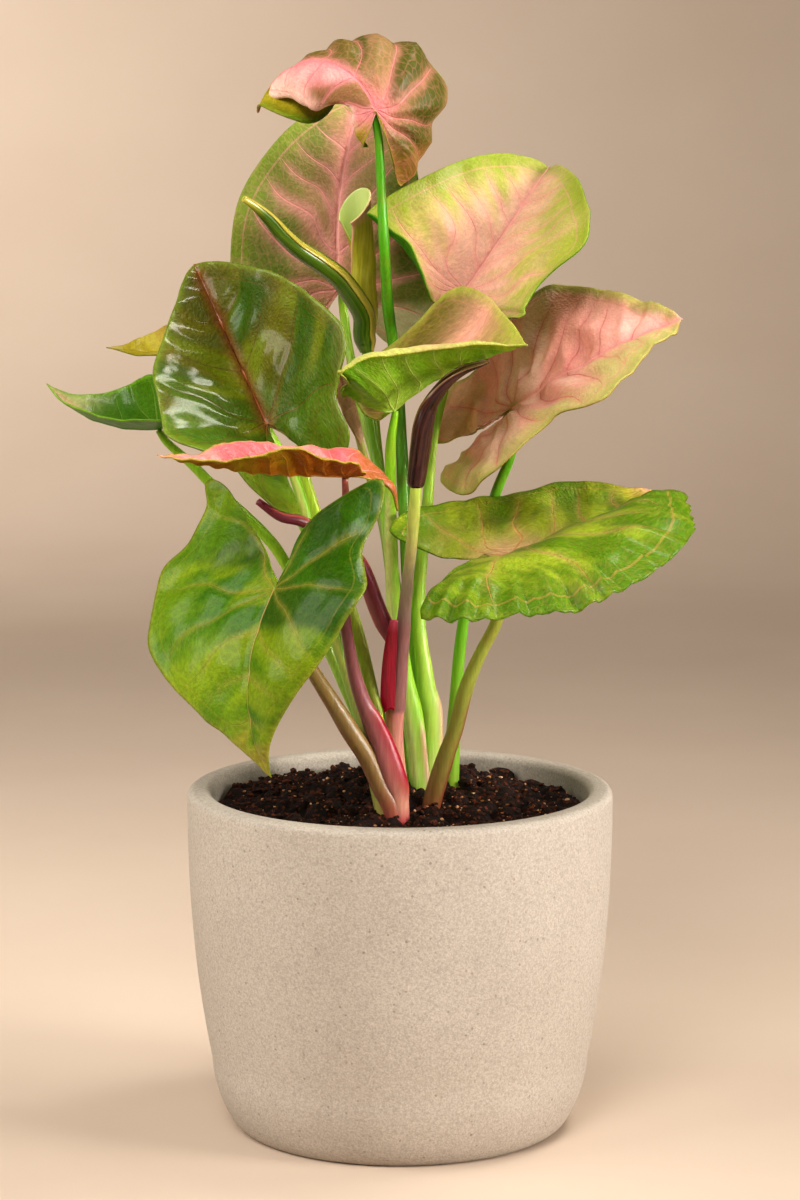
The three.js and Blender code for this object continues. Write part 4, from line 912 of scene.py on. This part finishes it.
# Stalks: centre line and radius in millimetres, from the leaf down into the soil
stalks = {
    "top": dict(leaf="blade_top", drop=0.7, path=[
        (-7, 7, 325, 1.3), (-6, 9, 306, 1.6), (-5, 10, 288, 1.7), (-4, 20, 270, 1.8), (-2, 28, 254, 1.9),
        (0, 28, 232, 2), (2, 22, 193, 2.1), (4, 18, 159, 2.3), (6, 16, 126, 2.8), (7, 15, 104, 3.2),
        (7, 15, 92, 3)]),
    "centre": dict(leaf="blade_centre", path=[
        (-3, -12, 227, 1.6), (-3, -8, 212, 1.9), (-3, 0, 196, 2.2), (-2, 5, 172, 2.4), (1, 7, 150, 3.1),
        (4, 8, 135, 3.6), (6, 9, 118, 3.6), (7, 10, 104, 3.4), (7, 11, 92, 3)]),
    "upperRight": dict(leaf="blade_upper_right", path=[
        (17, 28, 264, 1.5), (15, 27, 245, 1.7), (11, 24, 227, 1.8), (9, 21, 203, 1.9), (6, 18, 170, 2.2),
        (8, 16, 148, 3), (10, 16, 132, 3.3), (10, 16, 112, 3.1), (9, 16, 92, 2.8)]),
    "backLeft": dict(leaf="blade_back_left", path=[
        (-19, 52, 265, 1.5), (-16, 46, 247, 1.6), (-11, 34, 228, 1.7), (-6, 28, 209, 1.8), (-2, 23, 172, 2),
        (2, 21, 125, 2.5), (4, 19, 104, 2.8), (5, 17, 92, 2.6)]),
    "rolledLeft": dict(path=[
        (-11.5, 29, 258, 1.5), (-11, 29, 254, 1.6), (-11, 29, 240, 1.7), (-8, 25, 220, 1.8),
        (-5, 18, 207, 1.9), (-2, 15, 174, 2.1), (1, 13, 127, 2.6), (4, 12, 104, 3), (5, 13, 92, 2.6)]),
    "rolledMiddle": dict(path=[
        (-10.7, 33.5, 266, 1.5), (-10, 34, 262, 1.5), (-10, 34, 250, 1.6), (-8, 30, 225, 1.7),
        (-5, 22, 200, 1.8), (0, 19, 165, 2), (4, 15, 125, 2.6), (5, 13, 104, 2.8), (5, 13, 92, 2.6)]),
    "right": dict(leaf="blade_right", path=[
        (38, 12, 229, 1.5), (36, 13, 220, 1.6), (31, 14, 207, 1.7), (25, 15, 183, 1.8), (21, 16, 166, 1.9),
        (18, 17, 134, 2.2), (17, 18, 104, 2.6), (17, 18, 92, 2.4)]),
    "largeLeft": dict(leaf="blade_large_left", path=[
        (-39, -11, 226, 1.5), (-35, -9, 219, 1.7), (-31, -8, 206, 1.8), (-26, -9, 184, 1.9),
        (-21, -12, 165, 2), (-12, -20, 138, 2.4), (-5, -24, 110, 3), (-3, -24, 92, 2.8)]),
    "secondLeft": dict(path=[
        (-33, -3, 226, 1.2), (-31, -3, 217, 1.7), (-28, -4, 207, 1.8), (-21, -6, 186, 1.9),
        (-15, -8, 170, 2), (-10, -12, 151, 2.2), (-7, -17, 136, 2.4), (-3, -22, 116, 2.8),
        (-2, -24, 92, 2.6)]),
    "frontLeft": dict(leaf="blade_front_left", path=[
        (-38, -52, 177, 1.5), (-35.5, -43, 169, 1.8), (-30.7, -36, 162, 2), (-26, -32, 154, 2.3),
        (-21, -29, 145.5, 2.6), (-16, -28, 137, 2.9), (-11, -27, 129, 3.1), (-6.5, -26, 119, 3.2),
        (-2.7, -25, 110, 3.2), (-1, -24, 92, 2.8)]),
    "edgeLeft": dict(leaf="blade_edge_left", path=[
        (-17, -51, 211, 1.3), (-19, -42, 194, 1.7), (-18, -34, 177, 2), (-16, -31, 163, 2.1),
        (-14, -29, 153, 2.3), (-10, -27, 141, 2.8), (-6.5, -25.5, 132, 3.3), (-3, -25, 121, 3.6),
        (-0.5, -24, 112, 3.5), (0, -24, 92, 3)]),
    "stub": dict(path=[
        (-45, -35, 212, 1.1), (-38, -34, 207, 1.5), (-31, -31, 205, 1.7), (-22, -25, 199, 2),
        (-13, -17, 190, 2.3), (-7, -16, 175, 2.6), (-4, -15.5, 168, 2.5), (0, -17, 160, 1.8)]),
    "darkRoll": dict(path=[
        (5.2, -26, 218, 1.8), (5, -26, 214, 1.9), (3.7, -23, 197, 1.9), (2.3, -20, 183, 2),
        (1, -18, 169, 2.1), (-0.2, -16, 156, 2.4), (-1.4, -14, 144, 2.8), (-1.9, -13, 134, 3),
        (-1.2, -12, 123, 3), (0, -11, 111, 3), (1, -11, 92, 2.8)]),
    "frontRight": dict(leaf="blade_front_right", path=[
        (34, -20, 185, 1.5), (31, -19, 171, 1.9), (26.7, -18, 162, 2.1), (23, -17, 153.5, 2.3),
        (20.6, -16, 146, 2.5), (18, -14, 135, 2.7), (15, -13, 126, 2.8), (12, -12, 116, 2.9),
        (10, -11, 107, 3), (9, -11, 92, 2.8)]),
    "farLeft": dict(leaf="blade_far_left", path=[
        (-76, 7, 226, 1.4), (-68, 6, 219, 1.6), (-61, 5, 212, 1.7), (-45, 3, 197, 1.8), (-37, 2, 186, 1.9),
        (-24, 0, 160, 2.1), (-10, 3, 129, 2.4), (1, 8, 106, 2.8), (4, 10, 92, 2.6)]),
    "smallLeft": dict(leaf="blade_small_left", path=[
        (-65, 33, 249, 1.2), (-52, 29, 228, 1.4), (-32, 24, 196, 1.6), (-16, 21, 160, 1.8),
        (-4, 18, 125, 2.2), (2, 16, 104, 2.6), (4, 15, 92, 2.4)]),
    "behindStems": dict(leaf="blade_behind_stems", path=[
        (-17, 57, 235, 1.2), (-13, 55, 219, 1.4), (-5, 43, 190, 1.6), (0, 30, 150, 1.8), (4, 23, 115, 2.2),
        (5, 19, 92, 2.4)]),
}
plantlets = {
    "stems_front_left": ["largeLeft", "secondLeft", "frontLeft", "edgeLeft"],
    "stems_front": ["darkRoll", "stub"],
    "stem_front_right": ["frontRight"],
    "stems_centre": ["top", "centre", "upperRight", "backLeft", "rolledLeft", "rolledMiddle", "farLeft",
                     "smallLeft", "behindStems"],
    "stem_right": ["right"],
}
stalkMesh = {"sides": 30, "step": 1.6, "perSpan": 12, "fewest": 6, "neck": 1.05, "wobble": 0.035}
# colours down each stalk, each with its height above the table in millimetres
stalkTints = {
    "top": [(340, "#489014"), (260, "#5ca31c"), (150, "#86b444"), (100, "#b0ba74")],
    "centre": [(240, "#88c024"), (180, "#98ca36"), (125, "#90c238"), (100, "#acc868")],
    "upperRight": [(280, "#86b030"), (180, "#a0c644"), (125, "#a4c250"), (100, "#c0b890")],
    "backLeft": [(280, "#86b030"), (180, "#9cc444"), (100, "#a9b86a")],
    "rolledLeft": [(260, "#6c9a26"), (180, "#94c43c"), (100, "#a9b86a")],
    "rolledMiddle": [(265, "#8a9a26"), (180, "#94c43c"), (100, "#a9b86a")],
    "right": [(240, "#579818"), (160, "#6ba61c"), (100, "#88a83a")],
    "largeLeft": [(235, "#79b01e"), (180, "#86c02a"), (130, "#93b048"), (100, "#a07a52")],
    "secondLeft": [(235, "#9cbc2c"), (180, "#b4c848"), (130, "#a4b04e"), (100, "#a07a52")],
    "frontLeft": [(185, "#84683e"), (165, "#86723c"), (120, "#8c6e44"), (106, "#983f40"), (100, "#8a2030")],
    "edgeLeft": [(222, "#8f4a40"), (172, "#7c4248"), (145, "#93585c"), (122, "#b06a64"), (112, "#c8907c"),
                 (106, "#9a2034")],
    "stub": [(215, "#5e1c24"), (200, "#70283a"), (180, "#7c3240"), (160, "#8a3a44")],
    "darkRoll": [(216, "#a8ba50"), (200, "#a6a556"), (185, "#988a6e"), (170, "#8c6f68"), (142, "#8c605c"),
                 (140.5, "#bd7c70"), (121, "#cf9480"), (109, "#c07068"), (103, "#9a1c34")],
    "frontRight": [(192, "#939c3a"), (160, "#8f963a"), (130, "#86823a"), (112, "#7c5a34"), (104, "#8a3a34")],
    "farLeft": [(232, "#86b020"), (190, "#8ab428"), (100, "#9ab85a")],
    "smallLeft": [(256, "#8fa030"), (190, "#79b42c"), (100, "#9ab85a")],
    "behindStems": [(240, "#8a7a3c"), (190, "#86983c"), (100, "#9ab05a")],
}
# what stands out on one side of a stalk: side and half width in degrees (0 right, 90 front), heights and
# reach in millimetres
stalkExtras = {
    "edgeLeft": [dict(colour="#a00428", side=15, half=38, low=112, high=147, reach=1.5),
                 dict(colour="#a88a8c", side=170, half=35, low=112, high=175, reach=0)],
    "darkRoll": [dict(colour="#a08078", side=150, half=30, low=120, high=141, reach=0),
                 dict(colour="#8c605c", side=0, half=900, low=140.6, high=175, reach=0.35, soft=0.8)],
    "frontLeft": [dict(colour="#a8666a", side=185, half=50, low=104, high=158, reach=0.3)],
    "frontRight": [dict(colour="#7c3a2c", side=10, half=28, low=104, high=150, reach=0)],
    "stub": [dict(colour="#d07c84", side=200, half=24, low=164, high=188, reach=0.8),
             dict(colour="#c0605c", side=20, half=20, low=160, high=215, reach=0)],
    "centre": [dict(colour="#cfa08c", side=40, half=17, low=104, high=136, reach=0.9),
               dict(colour="#d8e08c", side=120, half=35, low=110, high=215, reach=0)],
    "upperRight": [dict(colour="#d8a898", side=0, half=30, low=122, high=144, reach=1.2, soft=2),
                   dict(colour="#6a4430", side=30, half=40, low=103, high=112, reach=0.3)],
    "top": [dict(colour="#2f7a0c", side=0, half=45, low=150, high=340, reach=0)],
    "largeLeft": [dict(colour="#c8d070", side=100, half=30, low=130, high=235, reach=0)],
}


def extraShare(extra, angles, height):
    turn = (np.degrees(angles) - extra["side"] + 180) % 360 - 180
    low, high = smooth((height - extra["low"]) / extra.get("soft", 7)), smooth((extra["high"] - height) / 8)
    return np.exp(-(turn / extra["half"]) ** 2) * low * high


def gradient(stops, height):
    levels, codes = zip(*reversed(stops))
    return np.array([np.interp(height, levels, channel) for channel in list(zip(*map(tint, codes)))[:3]])


def tubeAlong(name, path):
    sides, step, wobble = stalkMesh["sides"], stalkMesh["step"], stalkMesh["wobble"]
    fine = catmull(path, stalkMesh["perSpan"])
    gaps = np.linalg.norm(np.diff(fine[:, :3], axis=0), axis=1)
    along = np.concatenate([[0], np.cumsum(gaps)])
    count = max(int(along[-1] / step), stalkMesh["fewest"])
    spots = np.linspace(0, along[-1], count + 1)
    even = np.stack([np.interp(spots, along, fine[:, k]) for k in range(4)], 1)
    centre, radius = even[:, :3], even[:, 3]
    dice = random.Random(name)
    phases = [dice.uniform(0, 6) for k in range(3)]
    ahead = unitRows(np.gradient(centre, axis=0))
    across = np.cross(ahead[0], [0, 1, 0.1])
    points, paint = [], []
    angles = np.linspace(0, 2 * np.pi, sides, endpoint=False)
    for i in range(len(centre)):
        across = across - ahead[i] * np.dot(across, ahead[i])
        across /= np.linalg.norm(across)
        beside = np.cross(ahead[i], across)
        swell = 1 + wobble * (math.sin(i * step * 0.21 + phases[0]) + math.sin(i * step * 0.083 + phases[1]))
        flute = 1 + wobble * 0.8 * np.cos(angles * 3 + phases[2] + i * 0.02)
        reach = radius[i] * swell * flute
        height = centre[i][2]
        shade = np.tile(gradient(stalkTints[name], height), (sides, 1))
        for extra in stalkExtras.get(name, []):
            share = extraShare(extra, angles, height)
            reach = reach + extra["reach"] * share
            shade = shade * (1 - share[:, None]) + np.array(tint(extra["colour"])[:3]) * share[:, None]
        ring = np.cos(angles)[:, None] * across + np.sin(angles)[:, None] * beside
        points.append(centre[i] + reach[:, None] * ring)
        paint.append(shade)
    rows = len(points)
    faces = ringFaces(rows, sides)
    ends = [[centre[0] - ahead[0] * radius[0] * 0.3], [centre[-1] + ahead[-1] * 0.5]]  # low caps
    top, end = rows * sides, rows * sides + 1
    for k in range(sides):
        n = (k + 1) % sides
        faces.append((top, n, k))
        faces.append((end, (rows - 1) * sides + k, (rows - 1) * sides + n))
    return np.vstack(points + ends), faces, np.vstack(paint + [paint[0][:1], paint[-1][:1]])


def stalkPath(name):  # a stalk that carries a leaf starts with a thin neck under the blade
    plan = stalks[name]
    if "leaf" not in plan:
        return plan["path"]
    leaf = leafShapes[plan["leaf"]]
    up = leafSpine(leaf, 1)[2][0]
    start = np.array(leaf["at"], float) - up * (stalkMesh["neck"] + plan.get("drop", 0))
    return [(*start, stalkMesh["neck"])] + plan["path"]


def makeStalkSkin():  # smooth succulent stalk with faint long streaks and a soft shine
    place = {"Vector": "place.Object"}
    return makeMaterial("leafStalkSkin", [
        ("place", placeNode, {}, {}),
        ("paint", paintNode, {"attribute_name": "stalkTint"}, {}),
        ("long", stretchNode, {"Scale": (1.0, 1.0, 0.07)}, place),
        ("streak", noiseNode, {"Scale": 1300.0, "Detail": 3.0}, {"Vector": "long"}),
        ("cloud", noiseNode, {"Scale": 120.0, "Detail": 3.0}, place),
        ("light", rampNode, {**middling, "To Min": 0.84, "To Max": 1.16}, {0: "streak"}),
        ("shade", mixNode, timesColour, {6: "paint", 7: "light"}),
        ("warm", rampNode, {"From Min": 0.5, "From Max": 0.75, "To Max": 0.25}, {0: "cloud"}),
        ("mixed", mixNode, {**blend, 7: tint("#a0703c")}, {0: "warm", 6: "shade"}),
        ("bump", bumpNode, {"Strength": 0.3, "Distance": 0.0002}, {"Height": "streak"}),
        ("skin", skinNode, {"Roughness": 0.36, "IOR": 1.42, "Subsurface Weight": 0.15,
                            "Subsurface Scale": 0.002}, {"Base Color": "mixed", "Normal": "bump"}),
    ])


def makeStalks(node, names, material):
    points, faces, paints, start = [], [], [], 0
    for name in names:
        tube, patches, shade = tubeAlong(name, stalkPath(name))
        points.append(tube)
        faces += [tuple(start + k for k in patch) for patch in patches]
        paints.append(shade)
        start += len(tube)
    piece = makePiece(node.replace("stem", "stalk"), np.vstack(points) * mm, faces, material)
    storeValues(piece, "stalkTint", "FLOAT_COLOR", np.hstack([np.vstack(paints), np.ones((start, 1))]))
    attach(piece, "root")
    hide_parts(node)


stalkSkin = makeStalkSkin()
for node, names in plantlets.items():
    makeStalks(node, names, stalkSkin)
print("stalks ready")

# Young leaves still rolled up. Path and radius in millimetres from the base up; the sheet goes round by
# turns (at the base, at the end), and face is the side it opens to, in degrees from the right to the front
rolls = {
    "rolled_leaf_left": dict(
        piece="rollLeft", slot="leaf_rolled", turns=(1.3, 1.05), face=(-10, 36), lip=0, closed=False,
        outer="#35560f", streak="#5f7a1e", inner="#a9a23c", edge="#a3953a", tip="#c9bf4c", hem=0.9,
        thick=0.7, path=[
            (-11, 29, 254, 2.4), (-11.5, 29, 257, 3.6), (-12, 28, 260, 3.9), (-12, 26, 266, 4),
            (-15, 23, 272, 3.9), (-20, 19, 279, 3.7), (-26, 14, 284, 3.4), (-33, 9, 289, 3.1),
            (-38, 4, 294, 2.8), (-42, 0, 299, 2.4), (-46, -4, 303, 1.7), (-50, -7, 306, 1.1)]),
    "rolled_leaf_middle": dict(
        piece="rollMiddle", slot="leaf_rolled", turns=(1.25, 0.8), face=(115, 140), lip=9, closed=False,
        outer="#86801c", streak="#a8a038", inner="#bccb7c", edge="#dc9a86", tip="#d59a80", hem=0.965,
        thick=0.7, path=[
            (-10, 34, 262, 2.6), (-11, 33, 268, 4), (-12, 32, 276, 4.3), (-12, 32, 283, 4.4),
            (-13, 31, 290, 4.7), (-14, 30, 295, 5.6), (-14.5, 29.5, 297.5, 7)]),
    "rolled_leaf_dark": dict(
        piece="rollDark", slot="leaf_dark", turns=(1.15, 0.62), face=(155, 150), lip=0, closed=True,
        outer="#26100e", streak="#54302a", inner="#7d6a34", edge="#7a5a3c", tip="#4a2a24", hem=0.94,
        thick=0.6, path=[
            (5, -26, 214.5, 2.6), (5.3, -26, 218, 3.1), (6, -26, 223, 3.3), (6.7, -27, 229, 3.4),
            (7.5, -28, 235, 3.4), (9, -29, 241, 3), (11, -31, 245, 2.6), (15, -32, 250, 2.2),
            (20, -32, 253.5, 1.8), (25, -34, 255.5, 1.3), (28, -34, 256.5, 0.8)]),
}
rollMesh = {"around": 52, "along": 12, "inside": 0.82, "spiral": 0.2, "closing": 0.07}


def makeRollSkin(name, plan):  # waxy skin of an unopened leaf, with long nerves and a paler inside
    outer, streak = tint(plan["outer"]), tint(plan["streak"])
    return makeMaterial(name, [
        ("place", paintNode, {"attribute_name": "rollPlace"}, {}),
        ("at", partsNode, {}, {0: "place.Vector"}),
        ("long", stretchNode, {"Scale": (26.0, 3.0, 5.0)}, {"Vector": "place.Vector"}),
        ("nerve", noiseNode, {"Scale": 1.0, "Detail": 4.0}, {"Vector": "long"}),
        ("cloud", noiseNode, {"Scale": 4.5, "Detail": 3.0}, {"Vector": "place.Vector"}),
        ("lines", rampNode, {"From Min": 0.42, "From Max": 0.66, "To Max": 0.75}, {0: "nerve"}),
        ("washed", rampNode, {"From Min": 0.45, "From Max": 0.7, "To Max": 0.5}, {0: "cloud"}),
        ("wax", mixNode, {**blend, 6: outer, 7: streak}, {0: "lines"}),
        ("mottled", mixNode, {**blend, 7: streak}, {0: "washed", 6: "wax"}),
        ("end", rampNode, {"From Min": 0.86, "To Max": 0.85}, {0: "at.Y"}),
        ("tipped", mixNode, {**blend, 7: tint(plan["tip"])}, {0: "end", 6: "mottled"}),
        ("hem", rampNode, {"From Min": plan["hem"], "From Max": plan["hem"] + 0.03}, {0: "at.X"}),
        ("hemmed", mixNode, {**blend, 7: tint(plan["edge"])}, {0: "hem", 6: "tipped"}),
        ("colour", mixNode, {**blend, 7: tint(plan["inner"])}, {0: "at.Z", 6: "hemmed"}),
        ("bump", bumpNode, {"Strength": 0.35, "Distance": 0.0003}, {"Height": "nerve"}),
        ("skin", skinNode, {"Roughness": 0.26, "IOR": 1.42, "Coat Weight": 0.35, "Coat Roughness": 0.12},
         {"Base Color": "colour", "Normal": "bump"}),
    ])


def sheetPiece(name, grid, places, thick, material):  # a grid of points given a thickness, closed round it
    rows, n = grid.shape[:2]
    points = grid.reshape(-1, 3)
    total = len(points)
    faces = [(i, i + 1, i + n + 1, i + n) for r in range(rows - 1) for i in range(r * n, r * n + n - 1)]
    inner = points - vertexNormals(points, faces) * thick
    allFaces = faces + [tuple(total + i for i in reversed(f)) for f in faces]
    border = list(range(n)) + [r * n + n - 1 for r in range(1, rows)]
    border += [(rows - 1) * n + k for k in range(n - 2, -1, -1)] + [r * n for r in range(rows - 2, 0, -1)]
    for a, b in zip(border, border[1:] + border[:1]):
        allFaces.append((b, a, total + a, total + b))
    piece = makePiece(name, np.vstack([points, inner]) * mm, allFaces, material)
    inside = np.repeat([[0.0], [1.0]], total, axis=0)
    flat = np.tile(places.reshape(-1, 2), (2, 1))
    storeValues(piece, "rollPlace", "FLOAT_VECTOR", np.hstack([flat, inside]))
    return piece


def makeRoll(node, plan):
    path = catmull(plan["path"], rollMesh["along"])
    centre, radius = path[:, :3], path[:, 3].copy()
    along = np.linspace(0, 1, len(centre))
    if plan["closed"]:
        radius *= np.sqrt(1 - np.clip(1 - along / rollMesh["closing"], 0, 0.985) ** 2)
    ahead = unitRows(np.gradient(centre, axis=0))
    share = np.linspace(0, 1, rollMesh["around"])
    grid, places = [], []
    for i, t in enumerate(along):
        right = np.cross([0, 1, 0.15], ahead[i])
        right /= np.linalg.norm(right)
        front = np.cross(right, ahead[i])  # towards the viewer, for a path that climbs
        turns = plan["turns"][0] + (plan["turns"][1] - plan["turns"][0]) * smooth((t - 0.35) / 0.6)
        face = math.radians(plan["face"][0] + (plan["face"][1] - plan["face"][0]) * t)
        angles = face + (share - 0.5) * 2 * np.pi * turns + np.pi
        spiral = radius[i] * (rollMesh["inside"] + rollMesh["spiral"] * share)
        lip = plan["lip"] * smooth((t - 0.75) / 0.25) * (1 - np.cos(angles - face)) / 2
        ring = np.cos(angles)[:, None] * right + np.sin(angles)[:, None] * front
        grid.append((centre[i] + spiral[:, None] * ring + ahead[i] * lip[:, None])[::-1])
        places.append(np.stack([share[::-1], np.full(len(share), t)], 1))
    skin = makeRollSkin(plan["piece"] + "Skin", plan)
    piece = sheetPiece(plan["piece"], np.array(grid), np.array(places), plan["thick"], skin)
    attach(piece, "root")
    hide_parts(node)


for node, plan in rolls.items():
    makeRoll(node, plan)

# Crimson sheath: a thin sheet that hugs the front stalk and stands out to its left, in millimetres. The
# stalk passes through stalkPlace (x, y) at the height level, and gains lean for each millimetre of height
sheath = {
    "low": 141, "high": 172, "hug": 3.2, "right": -1.2, "left": -6.4, "topLeft": -3.2, "thick": 0.5,
    "rows": 40, "columns": 26, "level": 143, "stalkPlace": (0.9, -17.6), "lean": (0.012, -0.08),
    "outer": "#80001f", "streak": "#b40e36", "inner": "#a83048", "edge": "#b8123c", "tip": "#d0506a",
    "hem": 0.9,
}


def makeSheath():
    s = sheath
    grid, places = [], []
    share = np.linspace(0, 1, s["columns"])
    for t in np.linspace(0, 1, s["rows"]):
        z = s["low"] + (s["high"] - s["low"]) * t
        middle, back = (place + lean * (z - s["level"]) for place, lean in zip(s["stalkPlace"], s["lean"]))
        left = s["left"] + (s["topLeft"] - s["left"]) * t ** 2.5 + 1.2 * (1 - smooth(t * 6))
        right = s["right"] - 0.6 * (1 - t) + 0.5 * t
        x = left + (right - left) * share
        depth = np.sqrt(np.maximum(s["hug"] ** 2 - (x - middle) ** 2, 0.2))
        y = back - np.where(x > middle - s["hug"] * 0.8, depth, s["hug"] * 0.6)
        y = np.convolve(np.pad(y, 3, mode="edge"), np.ones(7) / 7, "valid") - 0.5 * np.sin(share * np.pi)
        slant = 1.5 * np.sin(share * 2.6) * (1 - t)
        grid.append(np.stack([x, y, z + slant], 1))
        places.append(np.stack([0.9 * share, np.full(len(x), t)], 1))
    skin = makeRollSkin("sheathSkin", s)
    piece = sheetPiece("crimsonSheath", np.array(grid), np.array(places), s["thick"], skin)
    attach(piece, "root")
    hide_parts("sheath_red")


makeSheath()
print("rolled leaves and sheath ready")
